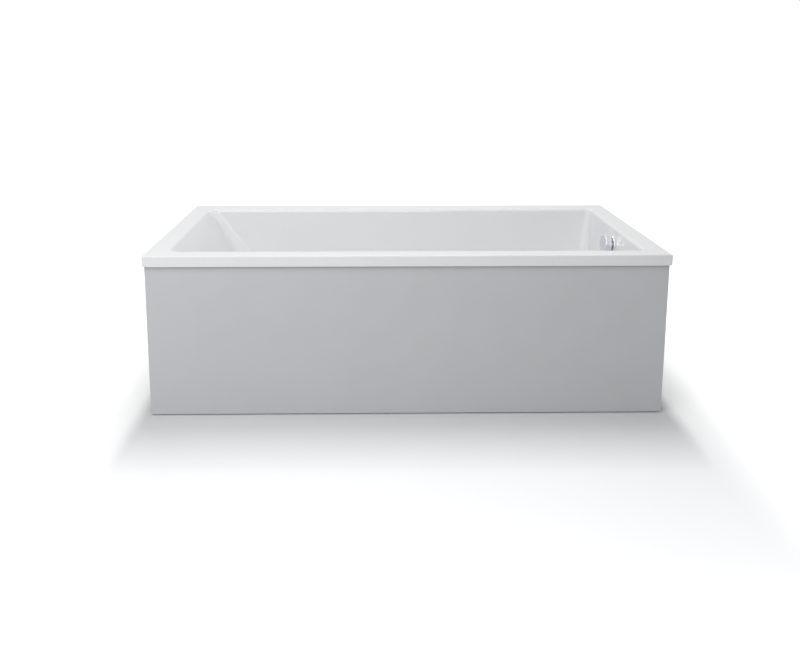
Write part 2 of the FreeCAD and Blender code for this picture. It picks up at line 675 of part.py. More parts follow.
def leg_rail(rail_x):
    """Steel channel across the bath, folded from sheet and open downwards."""
    half = RAIL_WIDTH / 2.0
    section = [
        Vector(rail_x + half, RAIL_Y0, RAIL_UNDER),
        Vector(rail_x + half, RAIL_Y0, BOARD_UNDER),
        Vector(rail_x - half, RAIL_Y0, BOARD_UNDER),
        Vector(rail_x - half, RAIL_Y0, RAIL_UNDER),
    ]
    rail = folded_strip(section, [2 * RAIL_SHEET] * 2, RAIL_SHEET, Vector(0, RAIL_Y1 - RAIL_Y0, 0))
    hole = STUD_R + STUD_HOLE_PLAY
    stud_holes = [cylinder(hole, RAIL_UNDER, BOARD_UNDER + 1, rail_x, y) for y in FOOT_ROWS]
    screw_holes = [pilot(spot - Vector(0, 0, 1), Vector(0, 0, 1)) for spot in rail_screw_spots(rail_x)]
    side_hole = pilot(bracket_rail_screw(rail_x), Vector(-1, 0, 0))
    return cut_all(rail, stud_holes + screw_holes + [side_hole])


def rail_screws():
    spots = rail_screw_spots(RAIL_HEAD_X) + rail_screw_spots(RAIL_FOOT_X)
    return Part.makeCompound([screw(spot, Vector(0, 0, 1)) for spot in spots])


def lock_nuts():
    """A nut above and below the rail's web on every stud."""
    nuts = []
    for x in (RAIL_HEAD_X, RAIL_FOOT_X):
        for y in FOOT_ROWS:
            bore = cylinder(STUD_R + RUNNING_FIT, RAIL_UNDER, BOARD_UNDER + 2 * NUT_HEIGHT, x, y)
            web_under = BOARD_UNDER - RAIL_SHEET
            nuts.append(hexagon(NUT_FLATS, BOARD_UNDER, BOARD_UNDER + NUT_HEIGHT, x, y).cut(bore))
            nuts.append(hexagon(NUT_FLATS, web_under - NUT_HEIGHT, web_under, x, y).cut(bore))
    return Part.makeCompound(nuts)


def foot_stud(x, y):
    """Threaded stud standing in its pad, with a hexagon for the spanner."""
    bottom = PAD_HEIGHT - PAD_SOCKET_DEPTH
    top = BOARD_UNDER + STUD_TOP_ABOVE_RAIL
    end = STUD_R - STUD_TIP
    rod = turned([(0, bottom), (STUD_R, bottom), (STUD_R, top - STUD_TIP), (end, top), (0, top)], x, y)
    spanner = PAD_HEIGHT + STUD_HEX_GAP
    return rod.fuse(hexagon(STUD_HEX_FLATS, spanner, spanner + STUD_HEX_HEIGHT, x, y))


def foot_pad(x, y):
    """Moulded round pad with a socket for the stud."""
    bore = STUD_R + RUNNING_FIT
    floor = PAD_HEIGHT - PAD_SOCKET_DEPTH
    profile = [
        (0, 0),
        (PAD_R - PAD_EDGE, 0),
        (PAD_R, PAD_EDGE),
        (PAD_R, PAD_RIM - PAD_EDGE),
        (PAD_R - PAD_EDGE, PAD_RIM),
        (PAD_NECK_R + PAD_SHOULDER, PAD_RIM + PAD_SHOULDER),
        (PAD_NECK_R, PAD_HEIGHT),
        (bore, PAD_HEIGHT),
        (bore, floor),
        (0, floor),
    ]
    return turned(profile, x, y)


# ---------------------------------------------------------------- front panel
def apron_panel():
    """Flat sheet with its ends and foot turned back; the top edge stays plain for the clips."""
    back = PANEL_FACE_Y + PANEL_RETURN
    panel = block(-PANEL_END_X, PANEL_END_X, PANEL_FACE_Y, back, PANEL_FLOOR_GAP, PANEL_TOP)
    foot = edges_where(panel, lambda b: b.YLength > PANEL_RETURN / 2 and b.ZMax < PANEL_FLOOR_GAP + 1)
    panel = panel.makeFillet(PANEL_CORNER_R, foot)
    rim = edges_where(panel, lambda b: b.YMax < PANEL_FACE_Y + 0.1 and b.ZMin < PANEL_TOP - 1)
    panel = panel.makeFillet(PANEL_EDGE_R, rim)
    inner_x = PANEL_END_X - PANEL_SHEET
    inner_z = PANEL_FLOOR_GAP + PANEL_SHEET
    room = block(-inner_x, inner_x, PANEL_BACK_Y, back + 1, inner_z, PANEL_TOP + 1)
    corner = edges_where(room, lambda b: b.YLength > PANEL_RETURN / 2 and b.ZMax < inner_z + 1)
    return panel.cut(room.makeFillet(PANEL_CORNER_R - PANEL_SHEET, corner))


def stiffener_places():
    """Centres of the panel's upright battens: near both ends, and one behind each bracket tab."""
    tab = BRACKET_SHEET + BRACKET_TAB / 2.0
    inner = [bracket_side(RAIL_HEAD_X) + tab, bracket_side(RAIL_FOOT_X) + tab]
    return [-PANEL_END_X + STIFFENER_END_X] + inner + [PANEL_END_X - STIFFENER_END_X]


def panel_stiffeners():
    battens = []
    half = STIFFENER_WIDTH / 2.0
    for x in stiffener_places():
        foot = PANEL_FLOOR_GAP + PANEL_SHEET
        top = PANEL_TOP - STIFFENER_TOP_DROP
        battens.append(block(x - half, x + half, PANEL_BACK_Y, STIFFENER_BACK_Y, foot, top))
    holes = [pilot(bracket_tab_screw(x), Vector(0, -1, 0)) for x in (RAIL_HEAD_X, RAIL_FOOT_X)]
    return Part.makeCompound([cut_all(batten, holes) for batten in battens])


def panel_clips():
    """Spring-steel clips under the front batten: nose and leg grip the panel's top edge between them."""
    front = PANEL_FACE_Y - CLIP_GRIP - CLIP_SHEET
    behind = PANEL_BACK_Y + CLIP_GRIP
    roof = BATTEN_UNDER - CLIP_SHEET
    tail = FRONT_BATTEN_Y - CLIP_END_GAP
    nose_line = [(front, roof - CLIP_NOSE), (front, BATTEN_UNDER), (tail, BATTEN_UNDER)]
    leg_line = [(behind, roof - CLIP_LEG), (behind, roof), (behind + CLIP_LAP, roof)]
    across = Vector(CLIP_WIDTH, 0, 0)
    clips = []
    for x in CLIP_PLACES:
        strips = []
        for line in (nose_line, leg_line):
            points = [Vector(x - CLIP_WIDTH / 2.0, y, z) for y, z in line]
            strips.append(folded_strip(points, [STRIP_BEND], CLIP_SHEET, across))
        clip = strips[0].fuse(strips[1]).removeSplitter()
        clips.append(clip.cut(pilot(clip_screw_spot(x) - Vector(0, 0, 1), Vector(0, 0, 1))))
    return Part.makeCompound(clips)


def clip_screws():
    return Part.makeCompound([screw(clip_screw_spot(x), Vector(0, 0, 1)) for x in CLIP_PLACES])


def panel_brackets():
    """Angle brackets from the leg rails to the panel's stiffeners."""
    low = BRACKET_MID - BRACKET_HEIGHT / 2.0
    brackets = []
    for rail_x in (RAIL_HEAD_X, RAIL_FOOT_X):
        side = bracket_side(rail_x)
        line = [
            Vector(side + BRACKET_SHEET + BRACKET_TAB, STIFFENER_BACK_Y, low),
            Vector(side, STIFFENER_BACK_Y, low),
            Vector(side, RAIL_Y0 + BRACKET_LAP, low),
        ]
        bracket = folded_strip(line, [STRIP_BEND], BRACKET_SHEET, Vector(0, 0, BRACKET_HEIGHT))
        rail_hole = pilot(bracket_rail_screw(rail_x) + Vector(1, 0, 0), Vector(-1, 0, 0))
        tab_hole = pilot(bracket_tab_screw(rail_x) + Vector(0, 1, 0), Vector(0, -1, 0))
        brackets.append(cut_all(bracket, [rail_hole, tab_hole]))
    return Part.makeCompound(brackets)


def bracket_screws():
    screws = []
    for rail_x in (RAIL_HEAD_X, RAIL_FOOT_X):
        screws.append(screw(bracket_rail_screw(rail_x), Vector(-1, 0, 0), length=2 * SCREW_HEAD_R))
        screws.append(screw(bracket_tab_screw(rail_x), Vector(0, -1, 0)))
    return Part.makeCompound(screws)


# ---------------------------------------------------------------- wall anchors
def anchor_hole_heights():
    low = LIP_BOTTOM - ANCHOR_DIP - ANCHOR_LEG + ANCHOR_HOLE_EDGE
    return (low, low + ANCHOR_HOLE_PITCH)


def wall_anchors():
    """Cranked strips from the back batten, under the lip and down the wall."""
    crank = END_Y - LIP_WALL - 2 * ANCHOR_SHEET
    dip = LIP_BOTTOM - ANCHOR_DIP
    line = [
        (BACK_BATTEN_Y + ANCHOR_TAIL_GAP, BATTEN_UNDER),
        (crank, BATTEN_UNDER),
        (crank, dip),
        (END_Y, dip),
        (END_Y, dip - ANCHOR_LEG),
    ]
    bends = [STRIP_BEND, STRIP_INNER_BEND, STRIP_BEND]
    anchors = []
    for x in ANCHOR_PLACES:
        points = [Vector(x - ANCHOR_WIDTH / 2.0, y, z) for y, z in line]
        anchor = folded_strip(points, bends, ANCHOR_SHEET, Vector(ANCHOR_WIDTH, 0, 0))
        holes = [pilot(anchor_screw_spot(x) - Vector(0, 0, 1), Vector(0, 0, 1))]
        for z in anchor_hole_heights():
            holes.append(bar(ANCHOR_HOLE_R, Vector(x, END_Y - 10, z), Vector(x, END_Y + 10, z)))
        anchors.append(cut_all(anchor, holes))
    return Part.makeCompound(anchors)


def anchor_screws():
    return Part.makeCompound([screw(anchor_screw_spot(x), Vector(0, 0, 1)) for x in ANCHOR_PLACES])


# ---------------------------------------------------------------- overflow control
def overflow_rosette():
    """Cover ring on the basin wall, pierced for the overflow water."""
    profile = [
        (SPINDLE_R + RUNNING_FIT, 0),
        (ROSETTE_R, 0),
        (ROSETTE_R, ROSETTE_THICK - ROSETTE_BEVEL),
        (ROSETTE_R - ROSETTE_BEVEL, ROSETTE_THICK),
        (SPINDLE_R + RUNNING_FIT, ROSETTE_THICK),
    ]
    rosette = turned(profile)
    for x, y in WATER_PLACES:
        rosette = rosette.cut(cylinder(ROSETTE_SLOT_R, -1, ROSETTE_THICK + 1, x, y))
    for x, y in CLAMP_PLACES:
        rosette = rosette.cut(cylinder(CLAMP_SCREW_R + SCREW_PLAY, -1, ROSETTE_THICK + 1, x, y))
        head_seat = ROSETTE_THICK - CLAMP_SCREW_HEAD
        rosette = rosette.cut(cylinder(CLAMP_SCREW_HEAD_R + SCREW_PLAY, head_seat, ROSETTE_THICK + 1, x, y))
    return on_wall(rosette)


def overflow_knob():
    """Turned knob: a flat round face on a flared body, with an index notch in its rim at the top."""
    back = ROSETTE_THICK + KNOB_BACK_GAP
    rim_back = KNOB_REACH - KNOB_RIM
    hub_end = ROSETTE_THICK + KNOB_HUB_GAP
    waist_z = back + KNOB_WAIST_LENGTH
    flare = [
        (KNOB_WAIST_R + (KNOB_R - KNOB_WAIST_R) * out, waist_z + (rim_back - waist_z) * up)
        for out, up in KNOB_FLARE
    ]
    profile = [
        (0, hub_end),
        (KNOB_HUB_R, hub_end),
        (KNOB_HUB_R, back),
        (KNOB_WAIST_R - KNOB_EDGE, back),
        (KNOB_WAIST_R, back + KNOB_EDGE),
        (KNOB_WAIST_R, waist_z),
        *flare,
        (KNOB_R, rim_back),
        (KNOB_R, KNOB_REACH - KNOB_EDGE),
        (KNOB_R - KNOB_EDGE, KNOB_REACH),
        (0, KNOB_REACH),
    ]
    knob = turned(profile)
    knob = knob.cut(cylinder(KNOB_NOTCH_R, rim_back, KNOB_REACH + 1, 0, KNOB_R))
    bore = cylinder(SPINDLE_R + SCREW_PLAY, 0, back + SPINDLE_IN_KNOB + BORE_OVERRUN)
    return on_wall(knob.cut(bore))


def overflow_spindle():
    """Shaft fixed in the knob, with the drum that draws the cable's wire."""
    drum_front = -SHELL_WALL - DRUM_BEHIND_WALL
    back = -SHELL_WALL - OVERFLOW_CUP_DEPTH + OVERFLOW_CUP_WALL + SPINDLE_END_GAP
    front = ROSETTE_THICK + KNOB_BACK_GAP + SPINDLE_IN_KNOB
    shaft = cylinder(SPINDLE_R, back, front)
    drum = cylinder(DRUM_R, drum_front - DRUM_THICK, drum_front)
    lip = DRUM_GROOVE
    groove = tube(DRUM_R + 1, DRUM_R - DRUM_GROOVE, drum_front - DRUM_THICK + lip, drum_front - lip)
    return on_wall(shaft.fuse(drum.cut(groove)))


def overflow_screws():
    seat = ROSETTE_THICK - CLAMP_SCREW_HEAD
    size = (CLAMP_SCREW_R, CLAMP_SCREW_HEAD_R, CLAMP_SCREW_HEAD, CLAMP_SCREW_LENGTH)
    screws = [screw(Vector(x, y, seat), Vector(0, 0, -1), *size) for x, y in CLAMP_PLACES]
    return on_wall(Part.makeCompound(screws))


def overflow_gasket():
    inner = OVERFLOW_CUP_R + GASKET_PLAY
    return on_wall(tube(OVERFLOW_FLANGE_R, inner, -SHELL_WALL - GASKET_THICK, -SHELL_WALL))


def cable_port_way():
    """Direction of the cable's port on the overflow body: down and back, at half a right angle."""
    return Vector(-cos_deg(45), -cos_deg(45), 0)


def overflow_body():
    """Cup behind the foot wall, with a downward socket for the pipe and a port for the cable."""
    front = -OVERFLOW_CUP_SHY
    back = -SHELL_WALL - OVERFLOW_CUP_DEPTH
    inner = OVERFLOW_CUP_R - OVERFLOW_CUP_WALL
    flange_z = -SHELL_WALL - GASKET_THICK
    body = cylinder(OVERFLOW_CUP_R, back, front)
    body = body.fuse(cylinder(OVERFLOW_FLANGE_R, flange_z - OVERFLOW_FLANGE, flange_z))
    socket_top = Vector(0, 0, SOCKET_DEEP)
    socket_mouth = Vector(0, -SOCKET_REACH, SOCKET_DEEP)
    body = body.fuse(bar(SOCKET_R, socket_top, socket_mouth))
    way = cable_port_way()
    port_root = Vector(0, 0, SOCKET_DEEP) + way * (OVERFLOW_CUP_R - 2)
    port_mouth = Vector(0, 0, SOCKET_DEEP) + way * CABLE_PORT_REACH
    body = body.fuse(bar(CABLE_PORT_R, port_root, port_mouth))
    room = cylinder(inner, back + OVERFLOW_CUP_WALL, front + 1)
    bearing = cylinder(2 * SPINDLE_R, back, back + OVERFLOW_CUP_WALL + SPINDLE_BEARING)
    posts = [cylinder(BOSS_R, back, front - 1, x, y) for x, y in CLAMP_PLACES]
    room = cut_all(room, [bearing] + posts)
    pipe_seat = Vector(0, -SOCKET_REACH + SOCKET_INSET, SOCKET_DEEP)
    screw_depth = CLAMP_SCREW_LENGTH + BORE_OVERRUN
    cuts = [
        room,
        bar(PIPE_R + PIPE_PLAY, pipe_seat, socket_mouth - Vector(0, 1, 0)),
        bar(PIPE_R - PIPE_WALL, Vector(0, -PIPE_R, SOCKET_DEEP), socket_mouth),
        bar(CABLE_R + CABLE_PLAY, port_mouth - way * CABLE_SEAT, port_mouth + way),
        bar(CABLE_R / 2, way * (inner - CABLE_R) + socket_top, port_mouth),
        cylinder(SPINDLE_R + RUNNING_FIT, back + OVERFLOW_CUP_WALL, 0),
    ]
    cuts += [cylinder(CLAMP_SCREW_R + SCREW_PLAY, -screw_depth, 0, x, y) for x, y in CLAMP_PLACES]
    return on_wall(cut_all(body, cuts))


# ---------------------------------------------------------------- pipe and cable
def swept_tube(path, radius):
    """Round tube along a path."""
    first = path.Edges[0]
    start = first.valueAt(first.FirstParameter)
    way = first.tangentAt(first.FirstParameter)
    circle = Part.Wire(Part.makeCircle(radius, start, way))
    return path.makePipeShell([circle], True, False)


def pipe_path():
    """From the overflow's socket down along the foot wall, then level to the waste's inlet."""
    top = wall_point(0, -SOCKET_REACH + SOCKET_INSET, SOCKET_DEEP)
    drop = top.z - INLET_Z
    corner = top - WALL_UP * (drop / WALL_UP.z)
    end = Vector(WASTE_X + INLET_REACH - SOCKET_INSET, MID_Y, INLET_Z)
    return rounded_path([top, corner, end], [PIPE_BEND_R])


def overflow_pipe():
    path = pipe_path()
    return swept_tube(path, PIPE_R).cut(swept_tube(path, PIPE_R - PIPE_WALL))


def nut_flutes(outer, count, low, high):
    """Hollows round a moulded nut, between its finger ribs."""
    places = ring_places(outer + NUT_FLUTE_R - NUT_FLUTE_DEPTH, [360.0 * i / count for i in range(count)])
    return [cylinder(NUT_FLUTE_R, low, high, x, y) for x, y in places]


def union_nut():
    """Union nut along Z, its mouth at z = 0 and its lip beyond the socket's end."""
    bore = SOCKET_R + PIPE_PLAY
    lip_bore = PIPE_R + PIPE_PLAY
    body = UNION_LENGTH - UNION_LIP
    profile = [
        (bore, 0),
        (UNION_R - NUT_EDGE, 0),
        (UNION_R, NUT_EDGE),
        (UNION_R, UNION_LENGTH - 2 * NUT_EDGE),
        (UNION_R - 2 * NUT_EDGE, UNION_LENGTH),
        (lip_bore, UNION_LENGTH),
        (lip_bore, body + PIPE_PLAY),
        (bore, body + PIPE_PLAY),
    ]
    flutes = nut_flutes(UNION_R, UNION_RIBS, 2 * NUT_EDGE, UNION_LENGTH - 3 * NUT_EDGE)
    return cut_all(turned(profile), flutes)


def pipe_nut_top():
    nut = union_nut()
    mouth = SOCKET_REACH - UNION_LENGTH + UNION_LIP
    nut.Placement = Placement(Vector(0, -mouth, SOCKET_DEEP), Rotation(Vector(1, 0, 0), 90))
    return on_wall(nut)


def pipe_nut_bottom():
    nut = union_nut()
    mouth = WASTE_X + INLET_REACH - UNION_LENGTH + UNION_LIP
    nut.Placement = Placement(Vector(mouth, MID_Y, INLET_Z), Rotation(Vector(0, 1, 0), 90))
    return nut


def cable_route():
    """Hand-laid route: out of the overflow body, down beside the pipe, round and into the lever housing."""
    way = cable_port_way()
    start = way * (CABLE_PORT_REACH - CABLE_SEAT)
    bend = way * (CABLE_PORT_REACH + CABLE_STRAIGHT)
    points = [wall_point(start.x, start.y, SOCKET_DEEP), wall_point(bend.x, bend.y, SOCKET_DEEP)]
    points += [wall_point(across, up, SOCKET_DEEP + out) for across, up, out in CABLE_ON_WALL]
    port = Vector(WASTE_X, MID_Y + HOUSING_END + CABLE_PORT_LENGTH, PIVOT_Z + LEVER_TAIL)
    points += [port + Vector(ahead, aside, above) for ahead, aside, above in CABLE_TO_LEVER]
    points.append(port - Vector(0, CABLE_SEAT, 0))
    return points


def cable_radii(points):
    """Each bend as large as its two runs allow."""
    radii = []
    for before, corner, after in zip(points, points[1:], points[2:]):
        turn = math.pi - (before - corner).getAngle(after - corner)
        shorter = min((before - corner).Length, (after - corner).Length)
        radii.append(0.45 * shorter / math.tan(turn / 2.0))
    return radii


def bowden_cable():
    points = cable_route()
    radii = cable_radii(points)
    print("cable bend radii:", [round(radius) for radius in radii])
    path = rounded_path(points, radii)
    cable = swept_tube(path, CABLE_R)
    full = math.pi * CABLE_R**2 * path.Length
    print("cable volume over section times length:", round(cable.Volume / full, 4))
    return cable


# ---------------------------------------------------------------- waste
def drain_flange():
    """Dished flange with its threaded neck and the spider that guides the plug's stem."""
    neck_end = FLANGE_UNDER - FLANGE_NECK_LENGTH
    profile = [
        (FLANGE_BORE_R, neck_end),
        (FLANGE_NECK_R, neck_end),
        (FLANGE_NECK_R, FLANGE_UNDER),
        (FLANGE_R, FLANGE_UNDER),
        (FLANGE_R, FLANGE_TOP - FLANGE_EDGE),
        (FLANGE_R - 2 * FLANGE_EDGE, FLANGE_TOP),
        (FLANGE_LAND_R + FLANGE_EDGE, FLANGE_TOP),
        (FLANGE_LAND_R, LAND_Z),
        (FLANGE_BORE_R + FLANGE_EDGE, LAND_Z),
        (FLANGE_BORE_R, LAND_Z - FLANGE_EDGE),
    ]
    flange = turned(profile, WASTE_X, MID_Y)
    top = LAND_Z - SPIDER_DROP
    low = top - SPIDER_HEIGHT
    hub = cylinder(SPIDER_HUB_R, low, top, WASTE_X, MID_Y)
    arms = []
    for i in range(SPIDER_ARMS):
        half = SPIDER_ARM / 2
        arm = block(0, FLANGE_BORE_R + 1, -half, half, low + SPIDER_ARM_SHY, top - SPIDER_ARM_SHY)
        turn = Rotation(Vector(0, 0, 1), 90 + 360.0 * i / SPIDER_ARMS)
        arm.Placement = Placement(Vector(WASTE_X, MID_Y, 0), turn)
        arms.append(arm)
    flange = flange.fuse([hub] + arms)
    return flange.cut(cylinder(STEM_R + RUNNING_FIT, low - 1, top + 1, WASTE_X, MID_Y))


def drain_gasket_top():
    return tube(FLANGE_R - 1, FLANGE_NECK_R + GASKET_PLAY, SEAT_Z, FLANGE_UNDER, WASTE_X, MID_Y)


def drain_gasket_low():
    return tube(BODY_FLANGE_R, FLANGE_NECK_R + GASKET_PLAY, BODY_TOP, BOSS_UNDER, WASTE_X, MID_Y)


def drain_plug():
    """Low crowned plug with a small bevel at its edge."""
    under = FLANGE_TOP + PLUG_GAP
    top = under + PLUG_CROWN
    profile = [
        (0, under),
        (PLUG_R, under),
        (PLUG_R, under + PLUG_EDGE),
        (PLUG_SHOULDER_R, top - PLUG_SHOULDER),
        (PLUG_FLAT_R, top),
        (0, top),
    ]
    return turned(profile, WASTE_X, MID_Y)


def plug_seal():
    top = FLANGE_TOP + PLUG_GAP
    low = LAND_Z + SEAL_GAP
    profile = [(SEAL_INNER_R, top), (SEAL_INNER_R + 1, low), (SEAL_R, low), (SEAL_R - 1, top)]
    return turned(profile, WASTE_X, MID_Y)


def plug_stem():
    """Stem under the plug, ending in the foot that the lever lifts."""
    top = FLANGE_TOP + PLUG_GAP
    stem = cylinder(STEM_R, STEM_UNDER, top, WASTE_X, MID_Y)
    return stem.fuse(cylinder(STEM_FOOT_R, STEM_UNDER, STEM_UNDER + STEM_FOOT, WASTE_X, MID_Y))


def housing_room(grow):
    """Space for the lever beside the waste body, and with grow its housing."""
    half = LEVER_THICK / 2 + LEVER_ROOM + grow
    return block(
        WASTE_X - half,
        WASTE_X + half,
        MID_Y + FLANGE_NECK_R - HOUSING_INTO_BODY,
        MID_Y + LEVER_PIVOT_Y + HOUSING_BACK + grow,
        PIVOT_Z - HOUSING_UNDER - grow / 2,
        PIVOT_Z + HOUSING_OVER + grow,
    )


def drain_body():
    """Moulded body under the basin: flange, cup with the overflow's inlet, cone and threaded neck."""
    collar_under = BODY_TOP - BODY_COLLAR
    thread = FLANGE_NECK_R + THREAD_PLAY
    outer = turned(
        [
            (0, BODY_TOP),
            (BODY_FLANGE_R, BODY_TOP),
            (BODY_FLANGE_R, BODY_TOP - BODY_FLANGE),
            (BODY_COLLAR_R + 3, BODY_TOP - BODY_FLANGE - 2),
            (BODY_R, CONE_TOP),
            (NECK_R, NECK_TOP),
            (NECK_R, NECK_UNDER),
            (0, NECK_UNDER),
        ],
        WASTE_X,
        MID_Y,
    )
    inner = turned(
        [
            (0, BODY_TOP + 1),
            (thread, BODY_TOP + 1),
            (thread, collar_under),
            (BODY_R - BODY_WALL, collar_under - 3),
            (BODY_R - BODY_WALL, CONE_TOP + 1),
            (NECK_R - BODY_WALL, NECK_TOP),
            (NECK_R - BODY_WALL, NECK_UNDER - 1),
            (0, NECK_UNDER - 1),
        ],
        WASTE_X,
        MID_Y,
    )
    mouth = Vector(WASTE_X + INLET_REACH, MID_Y, INLET_Z)
    root = Vector(WASTE_X, MID_Y, INLET_Z)
    port_z = PIVOT_Z + LEVER_TAIL
    port_y = MID_Y + HOUSING_END + CABLE_PORT_LENGTH
    port_mouth = Vector(WASTE_X, port_y, port_z)
    port_root = Vector(WASTE_X, MID_Y + HOUSING_END - 1, port_z)
    inlet = bar(SOCKET_R, root, mouth)
    port = bar(CABLE_PORT_R, port_root, port_mouth)
    body = outer.fuse([inlet, housing_room(HOUSING_WALL), port])
    seat = mouth - Vector(SOCKET_INSET, 0, 0)
    pin_half = LEVER_THICK / 2 + LEVER_ROOM + HOUSING_WALL + 1
    pivot = Vector(WASTE_X, MID_Y + LEVER_PIVOT_Y, PIVOT_Z)
    cuts = [
        inner,
        housing_room(0.0),
        bar(PIPE_R - PIPE_WALL, root, mouth),
        bar(PIPE_R + PIPE_PLAY, seat, mouth + Vector(1, 0, 0)),
        bar(CABLE_R + CABLE_PLAY, port_mouth - Vector(0, CABLE_SEAT, 0), port_mouth + Vector(0, 1, 0)),
        bar(CABLE_R / 2, port_root - Vector(0, HOUSING_WALL + 1, 0), port_mouth),
        bar(PIN_R + SCREW_PLAY, pivot - Vector(pin_half, 0, 0), pivot + Vector(pin_half, 0, 0)),
    ]
    return cut_all(body, cuts)


def lift_lever():
    """Cranked lever: its nose under the plug's stem, its tail on the cable's wire."""
    nose = Vector(0, MID_Y, NOSE_Z)
    pivot = Vector(0, MID_Y + LEVER_PIVOT_Y, PIVOT_Z)
    tail = pivot + Vector(0, LEVER_TAIL_BACK, LEVER_TAIL)
    start = WASTE_X - LEVER_THICK / 2
    across = Vector(LEVER_THICK, 0, 0)
    shapes = []
    for centre, radius in ((nose, LEVER_NOSE_R), (pivot, LEVER_BOSS_R), (tail, LEVER_TAIL_R)):
        near = Vector(start, centre.y, centre.z)
        shapes.append(bar(radius, near, near + across))
    for end, radius in ((nose, LEVER_NOSE_R), (tail, LEVER_TAIL_R)):
        way = (end - pivot).normalize()
        side = way.cross(Vector(1, 0, 0))
        corners = [pivot + side * radius, end + side * radius, end - side * radius, pivot - side * radius]
        corners = [corner + Vector(start, 0, 0) for corner in corners]
        shapes.append(Part.Face(Part.makePolygon(corners + [corners[0]])).extrude(across))
    lever = shapes[0].fuse(shapes[1:]).removeSplitter()
    centre = pivot + Vector(WASTE_X, 0, 0)
    return lever.cut(bar(PIN_R + RUNNING_FIT, centre - across, centre + across))


def lever_pin():
    half = LEVER_THICK / 2 + LEVER_ROOM + HOUSING_WALL
    pivot = Vector(WASTE_X, MID_Y + LEVER_PIVOT_Y, PIVOT_Z)
    pin = bar(PIN_R, pivot - Vector(half, 0, 0), pivot + Vector(half, 0, 0))
    return pin.fuse(bar(PIN_HEAD_R, pivot + Vector(half, 0, 0), pivot + Vector(half + PIN_HEAD, 0, 0)))


# ---------------------------------------------------------------- trap
def trap_washer():
    return tube(NECK_R, NECK_R - BODY_WALL, TRAP_TOP, NECK_UNDER, WASTE_X, MID_Y)


def trap_nut():
    """Ribbed union nut that draws the trap up to the waste's neck."""
    lip_under = TRAP_TOP - TRAP_FLANGE - PIPE_PLAY - TRAP_NUT_LIP
    top = lip_under + TRAP_NUT_HEIGHT + TRAP_NUT_LIP
    bore = NECK_R + THREAD_PLAY
    lip_bore = TRAP_NECK_R + TRAP_PLAY
    profile = [
        (lip_bore, lip_under),
        (TRAP_NUT_R - 2 * NUT_EDGE, lip_under),
        (TRAP_NUT_R, lip_under + 2 * NUT_EDGE),
        (TRAP_NUT_R, top - NUT_EDGE),
        (TRAP_NUT_R - NUT_EDGE, top),
        (bore, top),
        (bore, lip_under + TRAP_NUT_LIP),
        (lip_bore, lip_under + TRAP_NUT_LIP),
    ]
    flutes = nut_flutes(TRAP_NUT_R, TRAP_NUT_RIBS, lip_under + 3 * NUT_EDGE, top - 2 * NUT_EDGE)
    nut = cut_all(turned(profile), flutes)
    nut.translate(Vector(WASTE_X, MID_Y, 0))
    return nut


def trap_body():
    """Low trap: inlet cup under the waste, a passage to the riser, and the outlet spigot to the wall."""
    floor = TRAP_FLOOR_GAP
    riser_x = WASTE_X - TRAP_RISER_OFFSET
    cup_top = TRAP_TOP - TRAP_NECK_LENGTH
    riser_top = floor + TRAP_RISER_HEIGHT
    passage = TRAP_NECK_R
    cup = cylinder(TRAP_CUP_R, floor, cup_top, WASTE_X, MID_Y)
    bridge = block(riser_x, WASTE_X, MID_Y - passage, MID_Y + passage, floor, cup_top)
    riser = cylinder(TRAP_RISER_R, floor, riser_top, riser_x, MID_Y)
    neck = cylinder(TRAP_NECK_R, cup_top - 1, TRAP_TOP, WASTE_X, MID_Y)
    neck_flange = cylinder(NECK_R, TRAP_TOP - TRAP_FLANGE, TRAP_TOP, WASTE_X, MID_Y)
    axis = Vector(riser_x, MID_Y, OUTLET_HEIGHT)
    mouth = Vector(riser_x, MID_Y + OUTLET_REACH, OUTLET_HEIGHT)
    spigot = bar(OUTLET_R, axis, mouth)
    collar_far = mouth - Vector(0, OUTLET_FREE, 0)
    collar = bar(OUTLET_COLLAR_R, collar_far - Vector(0, OUTLET_COLLAR, 0), collar_far)
    body = cup.fuse([bridge, riser, neck, neck_flange, spigot, collar]).removeSplitter()
    low = floor + TRAP_WALL
    inner_passage = passage - TRAP_WALL
    rooms = [
        cylinder(TRAP_CUP_R - TRAP_WALL, low, cup_top - TRAP_WALL, WASTE_X, MID_Y),
        cylinder(TRAP_NECK_R - TRAP_WALL, low, TRAP_TOP + 1, WASTE_X, MID_Y),
        block(riser_x, WASTE_X, MID_Y - inner_passage, MID_Y + inner_passage, low, cup_top - TRAP_WALL),
        cylinder(TRAP_RISER_R - TRAP_WALL, low, riser_top - TRAP_WALL, riser_x, MID_Y),
        bar(OUTLET_R - OUTLET_WALL, axis, mouth + Vector(0, 1, 0)),
    ]
    return cut_all(body, rooms)


